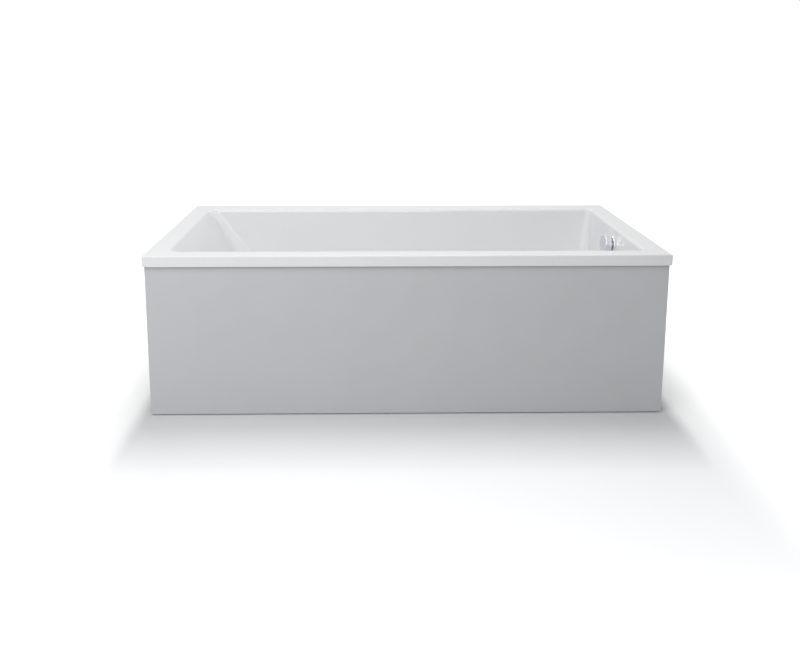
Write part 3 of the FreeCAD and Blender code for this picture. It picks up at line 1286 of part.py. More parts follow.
# ---------------------------------------------------------------- pieces
def pieces():
    """Every node's name and shape."""
    yield "tub_shell", tub_shell()
    yield "base_board", base_board()
    yield "rim_batten_front", rim_batten_front()
    yield "rim_batten_back", rim_batten_back()
    yield "rim_batten_head", rim_batten_end(HEAD_BATTEN_X, -1)
    yield "rim_batten_foot", rim_batten_end(FOOT_BATTEN_X, 1)
    yield "leg_rail_head", leg_rail(RAIL_HEAD_X)
    yield "leg_rail_foot", leg_rail(RAIL_FOOT_X)
    yield "rail_screws", rail_screws()
    yield "lock_nuts", lock_nuts()
    for end, x in (("head", RAIL_HEAD_X), ("foot", RAIL_FOOT_X)):
        for side, y in zip(("front", "back"), FOOT_ROWS):
            yield f"stud_{end}_{side}", foot_stud(x, y)
            yield f"pad_{end}_{side}", foot_pad(x, y)
    yield "apron_panel", apron_panel()
    yield "panel_stiffeners", panel_stiffeners()
    yield "panel_clips", panel_clips()
    yield "clip_screws", clip_screws()
    yield "panel_brackets", panel_brackets()
    yield "bracket_screws", bracket_screws()
    yield "wall_anchors", wall_anchors()
    yield "anchor_screws", anchor_screws()
    yield "overflow_rosette", overflow_rosette()
    yield "overflow_knob", overflow_knob()
    yield "overflow_spindle", overflow_spindle()
    yield "overflow_screws", overflow_screws()
    yield "overflow_gasket", overflow_gasket()
    yield "overflow_body", overflow_body()
    yield "overflow_pipe", overflow_pipe()
    yield "pipe_nut_top", pipe_nut_top()
    yield "pipe_nut_bottom", pipe_nut_bottom()
    yield "bowden_cable", bowden_cable()
    yield "drain_flange", drain_flange()
    yield "drain_gasket_top", drain_gasket_top()
    yield "drain_gasket_low", drain_gasket_low()
    yield "drain_plug", drain_plug()
    yield "plug_seal", plug_seal()
    yield "plug_stem", plug_stem()
    yield "drain_body", drain_body()
    yield "lift_lever", lift_lever()
    yield "lever_pin", lever_pin()
    yield "trap_washer", trap_washer()
    yield "trap_nut", trap_nut()
    yield "trap_body", trap_body()


def main():
    os.makedirs("parts", exist_ok=True)
    for name, shape in pieces():
        solids = len(shape.Solids)
        print(f"{name}: {solids} solid(s), {shape.Volume / 1000:.1f} cm3, valid {shape.isValid()}")
        shape.exportStep(os.path.join("parts", name + ".step"))


main()
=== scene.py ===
"""Alcove bathtub: finishes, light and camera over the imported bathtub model. Metres, Z up.

The bath lies along X with its backrest towards -X, and its front panel faces -Y.
"""

import math

import bpy
import numpy as np
from mathutils import Matrix, Vector


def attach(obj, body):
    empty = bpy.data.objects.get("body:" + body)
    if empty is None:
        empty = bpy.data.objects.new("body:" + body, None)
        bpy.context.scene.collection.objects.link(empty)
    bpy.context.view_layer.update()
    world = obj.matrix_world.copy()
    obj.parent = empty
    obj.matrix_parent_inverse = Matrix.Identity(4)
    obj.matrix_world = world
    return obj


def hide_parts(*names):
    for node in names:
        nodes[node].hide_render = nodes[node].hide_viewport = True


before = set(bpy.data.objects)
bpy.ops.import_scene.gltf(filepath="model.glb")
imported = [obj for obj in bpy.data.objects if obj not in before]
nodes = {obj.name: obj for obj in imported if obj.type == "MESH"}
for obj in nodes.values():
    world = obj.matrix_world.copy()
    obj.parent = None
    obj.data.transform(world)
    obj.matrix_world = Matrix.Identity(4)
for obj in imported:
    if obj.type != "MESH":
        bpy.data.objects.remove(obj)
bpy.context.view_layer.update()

# ---------------------------------------------------------------- camera, light and floor: sizes
IMAGE_WIDTH = 800.0         # the photograph, in pixels
IMAGE_HEIGHT = 650.0
FOCAL_PIXELS = 724.86
AXIS_X = 381.5              # where the optical axis meets the picture
AXIS_Y = 158.0
SENSOR_WIDTH = 36.0         # millimetres
CAMERA_PLACE = (-0.1166, -2.6098, 1.1997)
CAMERA_PITCH = 8.641        # degrees below the horizon
CAMERA_TURN = -0.782        # degrees about the upright axis, from looking along +Y
CAMERA_ROLL = -0.058        # degrees about the line of sight

SOFTBOXES = (               # name, place, point that it faces, width and height, watts
    ("top_softbox", (0.0, 0.10, 2.3), (0.0, 0.05, 0.3), (2.8, 1.3), 13.0),
    ("front_softbox", (-0.75, -1.75, 2.0), (0.0, 0.10, 0.4), (2.6, 1.5), 28.0),
    ("left_softbox", (-2.3, -2.1, 0.6), (-0.6, -0.375, 0.3), (1.2, 1.0), 7.0),
    ("back_softbox", (0.0, 2.4, 2.3), (0.0, 0.2, 0.5), (3.6, 0.8), 18.0),
)
WORLD_TINT = (0.97, 0.985, 1.0, 1.0)
WORLD_STRENGTH = 0.30
PLAIN_WHITE = (1.0, 1.0, 1.0, 1.0)

# the bath's footprint, and the white the seen floor gains away from it; less white near it is painted shade
HALF_LENGTH = 0.85
HALF_WIDTH = 0.375
FLOOR_HALF = 30.0           # half the sheet's side
FLOOR_LEVEL = -0.0004       # just under the feet
FLOOR_TONE = (0.74, 0.745, 0.75, 1.0)
# the end weight makes the painted shade round the bath shorter beyond its ends
FLOOR_END_WEIGHT = 6.0      # the white comes back faster beyond the ends
FLOOR_FADE = 2.0            # metres over which the shares below are laid out
FLOOR_WHITE_AND_PAINTED_SHADE = ((0.0, 0.0), (0.03, 0.02), (0.09, 0.17), (0.17, 0.36), (0.35, 0.46), (1.0, 1.0))

# ---------------------------------------------------------------- finishes: sizes
LIP_WALL = 0.005            # the lip's outer faces lie within this of the footprint's edge
BASIN_MIDDLE = (0.0, -0.008, 0.6)    # over the basin: the shell's hidden faces look away from here
STRAND_SIZE = (0.022, 0.0016, 0.0016)        # length and thickness of the glass fibres
STRAND_TURNS = ((0.3, 0.5, 0.4), (1.1, -0.4, 1.5), (-0.6, 1.2, 2.6))
CLOUD_BAND = (0.3, 0.7)     # where in a noise's range most of its values lie
LONG, CROSS, UPRIGHT = 0, 1, 2       # the axis that a batten's grain runs along

# ---------------------------------------------------------------- pieces worked out here: millimetres
TURN = 2.0 * math.pi
MILLIMETRE = 0.001
SHARP_EDGE = math.radians(35.0)              # an edge that turns more than this stays crisp

WALL_ORIGIN = (773.043, -8.0, 476.0)         # where the overflow's axis meets the foot wall
WALL_DRAFT = math.radians(6.0)               # the foot wall's lean from upright

KNOB_R = 36.0
KNOB_NOTCH_R = 2.2                           # the index notch is round, seen from the front
KNOB_NOTCH_FOOT = 27.5                       # height off the wall where the index notch begins
KNOB_ROUND = 288                             # points round it
KNOB_STEPS = 6                               # points on each corner's curve
KNOB_SECTION = (                             # radius, height off the wall, run taken by the corner's curve
    (0, 29.3, 0),
    (4.05, 29.3, 0),
    (4.05, 3.4, 0),
    (8.0, 3.4, 0.5),
    (8.0, 9.0, 0.8),
    (31.0, 9.0, 1.0),
    (31.0, 12.0, 0.6),
    (31.1, 15.5, 0.9),
    (31.7, 19.5, 1.2),
    (33.2, 24.3, 1.2),
    (36.0, 28.2, 0.5),
    (36.0, 32.0, 0.9),
    (31.6, 32.0, 0.3),
    (31.1, 31.5, 0.3),
    (30.4, 31.5, 0.3),
    (29.9, 31.9, 0.4),
    (14.0, 31.6, 5.0),
    (0, 31.5, 0),
)

FOOT_PLACES = {
    "head_front": (-333.58, -301.0),
    "head_back": (-333.58, 299.0),
    "foot_front": (430.0, -301.0),
    "foot_back": (430.0, 299.0),
}
STUD_R = 5.0
STUD_LOW = 6.0
STUD_TOP = 124.5
STUD_LEAD_IN = 1.5                           # chamfer at the top
STUD_ROUND = 24
THREAD_PITCH = 1.5
THREAD_DEPTH = 0.62
THREAD_LEVELS = 5.0                          # levels in one pitch
THREAD_SLOPE = 1.35                          # rise of the flanks, in depths for each half pitch
THREAD_ROOT = 0.12                           # depths taken off for the flat root

PAD_ROUND = 288
PAD_STEPS = 4
PAD_RIBS = 36
RIB_DEPTH = 0.55
RIB_INNER_R = 20.0                           # the ribs lie outside this radius
RIB_LEVELS = (0.3, 4.9)                      # and between these heights
PAD_SECTION = (                              # radius, height off the floor, run taken by the corner's curve
    (0, 0, 0),
    (16.0, 0, 0),
    (16.6, 0.8, 0.2),
    (17.6, 0.8, 0.2),
    (18.2, 0, 0.2),
    (21.0, 0, 0.8),
    (22.0, 1.4, 0.5),
    (22.0, 3.8, 0.8),
    (20.8, 5.0, 0.8),
    (13.2, 6.0, 1.6),
    (10.8, 8.4, 1.2),
    (10.0, 14.0, 0.8),
    (5.06, 14.0, 0.4),
    (5.06, 6.0, 0),
    (0, 6.0, 0),
)

# a hexagon's width over its flats, its inner radius, how far in from the flats its faces stay round,
# a radius past its corners, and the height of the level where the corner cut has run out
SPANNER = {"flats": 14.0, "inner": 0.0, "inset": 1.0, "beyond": 9.0, "cut": 0.7}
NUT = {"flats": 17.0, "inner": 5.06, "inset": 0.6, "beyond": 11.0, "cut": 0.8}
HEXAGON_ROUND = 72
CUT_SLOPE = math.tan(math.radians(30.0))
CUT_INSET = 0.1                              # the corner cut begins this far inside the flats
SPANNER_LEVELS = (15.0, 21.0)
NUT_HEIGHT = 8.0
NUT_LEVELS = (84.5, 94.5)


def bath_camera():
    """Camera in front of the bath, tipped a little down, with its frame shifted further down."""
    data = bpy.data.cameras.new("bath_camera")
    data.sensor_width = SENSOR_WIDTH
    data.lens = FOCAL_PIXELS / IMAGE_WIDTH * data.sensor_width
    data.shift_x = (IMAGE_WIDTH / 2.0 - AXIS_X) / IMAGE_WIDTH
    data.shift_y = (AXIS_Y - IMAGE_HEIGHT / 2.0) / IMAGE_WIDTH
    camera = bpy.data.objects.new("bath_camera", data)
    bpy.context.scene.collection.objects.link(camera)
    turn = Matrix.Rotation(math.radians(CAMERA_TURN), 4, "Z")
    pitch = Matrix.Rotation(math.radians(90.0 - CAMERA_PITCH), 4, "X")
    roll = Matrix.Rotation(math.radians(-CAMERA_ROLL), 4, "Z")
    camera.matrix_world = Matrix.Translation(CAMERA_PLACE) @ turn @ pitch @ roll
    bpy.context.scene.camera = camera


# ---------------------------------------------------------------- nodes of a finish
class Shading:
    """Short calls for the nodes of one tree."""

    def __init__(self, tree):
        self.tree = tree

    def node(self, kind, **settings):
        """A node; each setting is the node's own, or else an input written with _ for its spaces."""
        made = self.tree.nodes.new(kind)
        for key, value in settings.items():
            if hasattr(made, key):
                setattr(made, key, value)
            else:
                self.put(made.inputs[key.replace("_", " ")], value)
        return made

    def put(self, socket, value):
        """The value on the socket: a link where it is a socket itself."""
        if isinstance(value, bpy.types.NodeSocket):
            self.tree.links.new(value, socket)
        else:
            socket.default_value = value

    def maths(self, operation, *values):
        """One sum worked out on numbers or sockets."""
        made = self.node("ShaderNodeMath", operation=operation)
        for socket, value in zip(made.inputs, values):
            self.put(socket, value)
        return made.outputs[0]

    def ramp(self, value, stops):
        """Colour ramp; stops are (place, colour) pairs."""
        made = self.node("ShaderNodeValToRGB", Fac=value)
        band = made.color_ramp
        while len(band.elements) < len(stops):
            band.elements.new(0.5)
        for element, (place, colour) in zip(band.elements, stops):
            element.position = place
            element.color = (*colour, 1.0)
        return made.outputs["Color"]


class Finish(Shading):
    """A material and short calls for the patterns on it."""

    def __init__(self, name, colour, roughness, metallic=0.0):
        self.material = bpy.data.materials.new(name)
        self.material.use_nodes = True
        super().__init__(self.material.node_tree)
        self.shader = self.tree.nodes["Principled BSDF"]
        self.even(Base_Color=(*colour, 1.0), Roughness=roughness, Metallic=metallic)
        self.place = self.node("ShaderNodeTexCoord").outputs["Object"]

    def even(self, **values):
        """Values that are the same all over, on the shader's own sockets."""
        for socket, value in values.items():
            self.shader.inputs[socket.replace("_", " ")].default_value = value
        return self

    def stretched(self, scale):
        """Object coordinates scaled per axis, for grain."""
        return self.node("ShaderNodeMapping", Vector=self.place, Scale=scale).outputs["Vector"]

    def noise(self, scale, detail, at=None):
        """Cloudy noise from 0 to 1; the scale is its features in a metre."""
        made = self.node("ShaderNodeTexNoise", Vector=at or self.place, Scale=scale, Detail=detail)
        return made.outputs["Fac"]

    def cells(self, scale, at=None):
        """Flat cells, each of one chance colour."""
        return self.node("ShaderNodeTexVoronoi", Vector=at or self.place, Scale=scale).outputs["Color"]

    def first_channel(self, colour):
        """The red of a colour, as a value."""
        return self.node("ShaderNodeSeparateColor", Color=colour).outputs[0]

    def spread(self, value, low, high, start=0.0, end=1.0):
        """The value's range from start to end, spread from low to high."""
        made = self.node("ShaderNodeMapRange", Value=value)
        for socket, limit in (("From Min", start), ("From Max", end), ("To Min", low), ("To Max", high)):
            made.inputs[socket].default_value = limit
        return made.outputs["Result"]

    def blend(self, share, one, other):
        """One value where the share is 0, the other where it is 1."""
        return self.node("ShaderNodeMixRGB", Fac=share, Color1=one, Color2=other).outputs["Color"]

    def colour(self, value):
        self.put(self.shader.inputs["Base Color"], value)
        return self

    def roughness(self, value):
        self.put(self.shader.inputs["Roughness"], value)
        return self

    def relief(self, height, distance, strength):
        """Bump from a height between 0 and 1 that stands for the distance in metres."""
        made = self.node("ShaderNodeBump", Height=height, Distance=distance, Strength=strength)
        self.put(self.shader.inputs["Normal"], made.outputs["Normal"])
        return self


def near(colour, share):
    """The colour made a little lighter or darker."""
    return tuple(min(1.0, part * (1.0 + share)) for part in colour)


def clouded(finish, colour, share, scale):
    """Faint cloudy change of tone round a colour."""
    dark, light = CLOUD_BAND
    stops = [(dark, near(colour, -share)), (light, near(colour, share))]
    return finish.ramp(finish.noise(scale, 3.0), stops)


def mottled(finish, colour, share, scale):
    """The finish with a clouded colour all over."""
    return finish.colour(clouded(finish, colour, share, scale))


# ---------------------------------------------------------------- finishes
def backed_side(finish):
    """1 on the shell's hidden faces, which look away from a point over the basin and lie within the lip.

    A face looks away where the dot product of its normal and the way to it from that point is above 0.
    """
    outward = finish.node("ShaderNodeVectorMath", operation="SUBTRACT")
    finish.put(outward.inputs[0], finish.place)
    finish.put(outward.inputs[1], BASIN_MIDDLE)
    facing = finish.node("ShaderNodeVectorMath", operation="DOT_PRODUCT")
    finish.put(facing.inputs[0], finish.node("ShaderNodeTexCoord").outputs["Normal"])
    finish.put(facing.inputs[1], outward.outputs["Vector"])
    share = finish.maths("GREATER_THAN", facing.outputs["Value"], 0.0)
    place = finish.node("ShaderNodeSeparateXYZ", Vector=finish.place)
    for axis, limit in (("X", HALF_LENGTH - LIP_WALL), ("Y", HALF_WIDTH - LIP_WALL)):
        within = finish.maths("LESS_THAN", finish.maths("ABSOLUTE", place.outputs[axis]), limit)
        share = finish.maths("MULTIPLY", share, within)
    return share


def chopped_strands(finish):
    """Short glass fibres lying three ways: the highest of three noises, each drawn out on its own line."""
    strands = None
    for turn in STRAND_TURNS:
        along = finish.node(
            "ShaderNodeMapping",
            vector_type="TEXTURE",
            Vector=finish.place,
            Rotation=turn,
            Scale=STRAND_SIZE,
        )
        one = finish.noise(1.0, 1.5, at=along.outputs["Vector"])
        strands = one if strands is None else finish.maths("MAXIMUM", strands, one)
    return finish.spread(strands, 0.0, 1.0, start=0.5, end=0.72)


def glossy_acrylic():
    """Bright even acrylic where it is seen, rough glass fibre in resin on its back."""
    colour = (0.850, 0.856, 0.860)
    between, resin, fibre = (0.56, 0.54, 0.47), (0.66, 0.65, 0.59), (0.78, 0.77, 0.73)
    finish = Finish("glossy_acrylic", colour, 0.08).even(IOR=1.54)
    back = backed_side(finish)
    strands = chopped_strands(finish)
    laminate = finish.ramp(strands, [(0.0, between), (0.5, resin), (1.0, fibre)])
    finish.colour(finish.blend(back, clouded(finish, colour, 0.006, 5.0), laminate))
    gloss = finish.spread(finish.noise(60.0, 4.0), 0.040, 0.075, *CLOUD_BAND)
    finish.roughness(finish.blend(back, gloss, finish.spread(strands, 0.42, 0.62)))
    waves = finish.spread(finish.noise(14.0, 2.0), 0.0, 0.02)
    return finish.relief(finish.blend(back, waves, strands), distance=0.0006, strength=0.9).material


def panel_grey():
    """Grey film on the front panel: nearly even, half matt, with a fine grain."""
    colour = (0.600, 0.607, 0.620)
    finish = mottled(Finish("panel_grey", colour, 0.42), colour, 0.010, 9.0)
    finish.even(IOR=1.48)
    finish.roughness(finish.spread(finish.noise(300.0, 3.0), 0.38, 0.48, *CLOUD_BAND))
    return finish.relief(finish.noise(1400.0, 2.0), distance=0.00005, strength=0.5).material


def pressed_chips():
    """Raw chipboard: flat chips of several tones, lying in layers."""
    finish = Finish("pressed_chips", (0.45, 0.31, 0.17), 0.8)
    tone = finish.first_channel(finish.cells(1.0, finish.stretched((160.0, 190.0, 900.0))))
    stops = [
        (0.0, (0.30, 0.19, 0.10)),
        (0.4, (0.46, 0.32, 0.18)),
        (0.75, (0.58, 0.43, 0.26)),
        (1.0, (0.68, 0.54, 0.36)),
    ]
    dusted = finish.node(
        "ShaderNodeMixRGB",
        blend_type="MULTIPLY",
        Fac=0.35,
        Color1=finish.ramp(tone, stops),
        Color2=finish.noise(700.0, 3.0),
    )
    finish.colour(dusted.outputs["Color"])
    return finish.relief(tone, distance=0.0004, strength=0.5).material


def sawn_softwood(name, along):
    """Planed softwood: growth rings cut lengthways, drawn out along one axis."""
    finish = Finish(name, (0.60, 0.43, 0.25), 0.62)
    scale = [34.0, 34.0, 34.0]
    scale[along] = 1.6
    grain = finish.node(
        "ShaderNodeTexWave", Vector=finish.stretched(scale), Scale=0.9, Distortion=5.0, Detail=3.0
    )
    stops = [(0.0, (0.47, 0.31, 0.16)), (0.5, (0.62, 0.45, 0.27)), (1.0, (0.70, 0.54, 0.34))]
    finish.colour(finish.ramp(grain.outputs["Fac"], stops))
    fine = [900.0, 900.0, 900.0]
    fine[along] = 22.0
    pores = finish.noise(1.0, 3.0, at=finish.stretched(fine))
    return finish.relief(pores, distance=0.0003, strength=0.6).material


def galvanised_sheet():
    """Hot-dipped zinc: flat crystals of slightly different grey and gloss."""
    finish = Finish("galvanised_sheet", (0.62, 0.64, 0.66), 0.4, metallic=1.0)
    crystals = finish.first_channel(finish.cells(70.0))
    stops = [(0.0, (0.47, 0.49, 0.51)), (0.5, (0.60, 0.62, 0.64)), (1.0, (0.74, 0.75, 0.76))]
    finish.colour(finish.ramp(crystals, stops))
    finish.roughness(finish.spread(crystals, 0.30, 0.52))
    return finish.relief(finish.noise(500.0, 3.0), distance=0.0001, strength=0.5).material


def zinc_plate():
    """Bright zinc on screws, nuts and studs, with a fine uneven gloss."""
    finish = Finish("zinc_plate", (0.72, 0.73, 0.74), 0.28, metallic=1.0)
    mottled(finish, (0.72, 0.73, 0.75), 0.06, 240.0)
    finish.roughness(finish.spread(finish.noise(900.0, 3.0), 0.20, 0.38, *CLOUD_BAND))
    return finish.relief(finish.noise(2500.0, 2.0), distance=0.00003, strength=0.5).material


def moulded_plastic(name, colour, gloss, share=0.02):
    """Injection-moulded plastic: fine spark-eroded grain and a slightly uneven gloss."""
    finish = mottled(Finish(name, colour, gloss), colour, share, 40.0)
    finish.even(IOR=1.5)
    finish.roughness(finish.spread(finish.noise(260.0, 3.0), gloss - 0.06, gloss + 0.08, *CLOUD_BAND))
    return finish.relief(finish.noise(1800.0, 2.0), distance=0.00008, strength=0.5).material


def polished_chrome():
    """Chrome on the control and the waste: even, with a slight bloom on its polish."""
    colour = (0.80, 0.81, 0.84)
    finish = mottled(Finish("polished_chrome", colour, 0.06, metallic=1.0), colour, 0.012, 30.0)
    finish.roughness(finish.spread(finish.noise(140.0, 4.0), 0.10, 0.16, start=0.35, end=0.7))
    return finish.relief(finish.noise(90.0, 2.0), distance=0.00001, strength=0.4).material


def turned_brass():
    """Bare brass with the fine marks of turning."""
    colour = (0.76, 0.56, 0.27)
    finish = mottled(Finish("turned_brass", colour, 0.25, metallic=1.0), colour, 0.05, 300.0)
    return finish.relief(finish.noise(1500.0, 2.0), distance=0.00004, strength=0.5).material


def black_rubber():
    """Matt black rubber with a fine dusty grain."""
    colour = (0.022, 0.022, 0.023)
    finish = mottled(Finish("black_rubber", colour, 0.75), colour, 0.12, 120.0)
    return finish.relief(finish.noise(1600.0, 3.0), distance=0.00015, strength=0.7).material


# ---------------------------------------------------------------- light and floor
def seen_share(shading):
    """1 where the camera, a mirror or glass looks, and 0 for the light on surfaces."""
    path = shading.node("ShaderNodeLightPath")
    total = path.outputs["Is Camera Ray"]
    for ray in ("Is Glossy Ray", "Is Transmission Ray"):
        total = shading.maths("MAXIMUM", total, path.outputs[ray])
    return total


def studio_world():
    """Even pale surroundings for the light, plain white where the camera or a mirror sees them."""
    world = bpy.data.worlds.new("studio_world")
    world.use_nodes = True
    shading = Shading(world.node_tree)
    shading.tree.nodes.clear()
    light = shading.node("ShaderNodeBackground", Color=WORLD_TINT, Strength=WORLD_STRENGTH)
    seen = shading.node("ShaderNodeBackground", Color=PLAIN_WHITE, Strength=1.0)
    mix = shading.node("ShaderNodeMixShader", Fac=seen_share(shading))
    shading.put(mix.inputs[1], light.outputs[0])
    shading.put(mix.inputs[2], seen.outputs[0])
    shading.node("ShaderNodeOutputWorld", Surface=mix.outputs[0])
    bpy.context.scene.world = world


def floor_with_painted_shade():
    """Matt white that keeps the shadow; what is seen gains plain white away from the footprint. Near the
    bath it gains less, so there the floor is painted darker: painted shade over the real shadow.

    The way to the footprint is the square root of x squared plus y squared, where x and y are how far a
    place lies past the footprint's ends and sides, and x is weighted.
    """
    material = bpy.data.materials.new("floor_with_painted_shade")
    material.use_nodes = True
    shading = Shading(material.node_tree)
    shading.tree.nodes.clear()
    on_floor = shading.node("ShaderNodeTexCoord").outputs["Object"]
    place = shading.node("ShaderNodeSeparateXYZ", Vector=on_floor)
    beyond = []
    for axis, half, weight in (("X", HALF_LENGTH, FLOOR_END_WEIGHT), ("Y", HALF_WIDTH, 1.0)):
        away = shading.maths("SUBTRACT", shading.maths("ABSOLUTE", place.outputs[axis]), half)
        away = shading.maths("MULTIPLY", shading.maths("MAXIMUM", away, 0.0), weight)
        beyond.append(shading.maths("POWER", away, 2.0))
    distance = shading.maths("SQRT", shading.maths("ADD", *beyond))
    # painted shade: the added white is least at the footprint, so the seen floor grows darker towards the
    # bath beyond its real shadow
    stops = [(at, (share, share, share)) for at, share in FLOOR_WHITE_AND_PAINTED_SHADE]
    rise = shading.ramp(shading.maths("DIVIDE", distance, FLOOR_FADE), stops)
    white_and_painted_shade_seen = shading.maths("MULTIPLY", rise, seen_share(shading))
    white = shading.node("ShaderNodeEmission", Strength=white_and_painted_shade_seen)
    paint = shading.node("ShaderNodeBsdfDiffuse", Color=FLOOR_TONE)
    both = shading.node("ShaderNodeAddShader")
    shading.put(both.inputs[0], paint.outputs[0])
    shading.put(both.inputs[1], white.outputs[0])
    shading.node("ShaderNodeOutputMaterial", Surface=both.outputs[0])
    return material


def studio_floor():
    """One wide level sheet just under the feet."""
    mesh = bpy.data.meshes.new("studio_floor")
    round_the_sheet = ((-1, -1), (1, -1), (1, 1), (-1, 1))
    corners = [(x * FLOOR_HALF, y * FLOOR_HALF, FLOOR_LEVEL) for x, y in round_the_sheet]
    mesh.from_pydata(corners, [], [(0, 1, 2, 3)])
    mesh.materials.append(floor_with_painted_shade())
    floor = bpy.data.objects.new("studio_floor", mesh)
    bpy.context.scene.collection.objects.link(floor)


def softbox(name, place, aim, size, watts):
    """White oblong area lamp turned towards a point."""
    data = bpy.data.lights.new(name, "AREA")
    data.shape = "RECTANGLE"
    data.size, data.size_y = size
    data.energy = watts
    lamp = bpy.data.objects.new(name, data)
    lamp.location = place
    lamp.rotation_euler = (Vector(aim) - Vector(place)).to_track_quat("-Z", "Y").to_euler()
    lamp.visible_camera = False
    bpy.context.scene.collection.objects.link(lamp)


# ---------------------------------------------------------------- surfaces
def curved_profile(corners, steps):
    """Straight runs joined by curves.

    At each corner the curve is (1-t)^2 start + 2t(1-t) corner + t^2 end, with t from 0 to 1.
    """
    corners = np.array(corners, float)
    share = np.linspace(0.0, 1.0, steps)[:, None]
    points = [corners[:1, :2]]
    for before, here, after in zip(corners[:-2, :2], corners[1:-1], corners[2:, :2]):
        spot, reach = here[:2], here[2]
        start = spot + (before - spot) / np.linalg.norm(before - spot) * reach
        end = spot + (after - spot) / np.linalg.norm(after - spot) * reach
        curve = (1.0 - share) ** 2 * start + 2.0 * share * (1.0 - share) * spot + share**2 * end
        points.append(curve if reach else spot[None, :])
    return np.concatenate(points + [corners[-1:, :2]])


def carried_round(profile, around, shape):
    """Points of a (radius, height) profile carried round the upright axis, and their numbers as a grid.

    Point (i, j) is (r cos a, r sin a, h): a is i of the turn's equal parts, h the profile's height j, and
    r is shape(a, radius j, h). The third result is the grid of the points one part further round.
    """
    angle = np.linspace(0.0, TURN, around, endpoint=False)[:, None]
    height = profile[None, :, 1] + 0.0 * angle
    radius = shape(angle, profile[None, :, 0] + 0.0 * angle, height)
    points = np.stack([radius * np.cos(angle), radius * np.sin(angle), height], axis=-1).reshape(-1, 3)
    index = np.arange(len(points)).reshape(around, -1)
    return points, index, np.roll(index, -1, axis=0)


def turned(profile, around, shape):
    """Points and faces of a profile carried round and closed in a point on the axis at both ends."""
    points, index, beside = carried_round(profile[1:-1], around, shape)
    sides = np.stack([index[:, :-1], beside[:, :-1], beside[:, 1:], index[:, 1:]], axis=-1).reshape(-1, 4)
    first, last = len(points), len(points) + 1
    low_end = np.stack([np.full(around, first), beside[:, 0], index[:, 0]], axis=-1)
    high_end = np.stack([np.full(around, last), index[:, -1], beside[:, -1]], axis=-1)
    poles = np.array([(0.0, 0.0, profile[0, 1]), (0.0, 0.0, profile[-1, 1])])
    return np.concatenate([points, poles]), [sides, low_end, high_end]


def ringed(profile, around, shape):
    """Points and faces of a closed profile clear of the axis: its last point joins its first."""
    points, index, beside = carried_round(profile, around, shape)
    corners = [index, beside, np.roll(beside, -1, axis=1), np.roll(index, -1, axis=1)]
    return points, [np.stack(corners, axis=-1).reshape(-1, 4)]


def hexagon(low, high, flats, inner, inset, beyond, cut):
    """Profile and shape of a hexagon from a low to a high level, its corners cut by a cone at both ends.

    A side's distance from the axis is half the flats over the cosine of the angle from the side's middle.
    The cone's is half the flats, less its inset, plus the height from the nearer end over the tangent of
    30 degrees. Past the round part of the faces, the radius is the smaller of the two.
    """
    round_edge = flats / 2.0 - inset
    rise = ((inner, 0.0), (round_edge, 0.0), (beyond, 0.0), (beyond, cut))
    profile = [(radius, low + up) for radius, up in rise]
    profile += [(radius, high - up) for radius, up in reversed(rise)]

    def shape(angle, radius, height):
        side = flats / 2.0 / np.cos(np.mod(angle, TURN / 6.0) - TURN / 12.0)
        cone = flats / 2.0 + np.minimum(height - low, high - height) / CUT_SLOPE - CUT_INSET
        return np.where(radius > round_edge, np.minimum(side, cone), radius)

    return np.array(profile), shape


def joined(parts):
    """Several point and face sets as one: a set's corner numbers go on from the points before it."""
    starts = np.cumsum([0] + [len(points) for points, _ in parts])
    faces = [block + start for (_, blocks), start in zip(parts, starts) for block in blocks]
    return np.concatenate([points for points, _ in parts]), faces


# ---------------------------------------------------------------- pieces
def piece(name, points, faces, material, body, slot, node):
    """Object of millimetre points that rides on a body and stands for a node."""
    mesh = bpy.data.meshes.new(name)
    sides = [side for block in faces for side in block.tolist()]
    mesh.from_pydata((points * MILLIMETRE).tolist(), [], sides)
    mesh.validate()
    mesh.shade_smooth()
    mesh.set_sharp_from_angle(angle=SHARP_EDGE)
    mesh.materials.append(material)
    made = bpy.data.objects.new(name, mesh)
    bpy.context.scene.collection.objects.link(made)
    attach(made, body)
    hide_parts(node)


def on_foot_wall(points):
    """From the overflow's own directions (across, up the wall, off the wall) to the bath's."""
    up = np.array([math.sin(WALL_DRAFT), 0.0, math.cos(WALL_DRAFT)])
    off = np.array([-math.cos(WALL_DRAFT), 0.0, math.sin(WALL_DRAFT)])
    return points @ np.stack([np.cross(up, off), up, off]) + np.array(WALL_ORIGIN)


def control_knob(material):
    """Turned drum with a dished face; its rim draws in over the index notch at the top.

    Over the notch the radius is at most the knob's less the square root of (the notch's radius squared less
    the sideways distance squared).
    """
    def shape(angle, radius, height):
        side = np.abs(KNOB_R * np.sin(angle - TURN / 4.0))
        facing = np.cos(angle - TURN / 4.0) > 0.0
        room = np.sqrt(np.clip(KNOB_NOTCH_R**2 - side**2, 0.0, None))
        cut = np.where(facing & (height > KNOB_NOTCH_FOOT), room, 0.0)
        return np.minimum(radius, KNOB_R - cut)

    points, faces = turned(curved_profile(KNOB_SECTION, KNOB_STEPS), KNOB_ROUND, shape)
    piece("turned_knob", on_foot_wall(points), faces, material, "knob", "chrome", "overflow_knob")


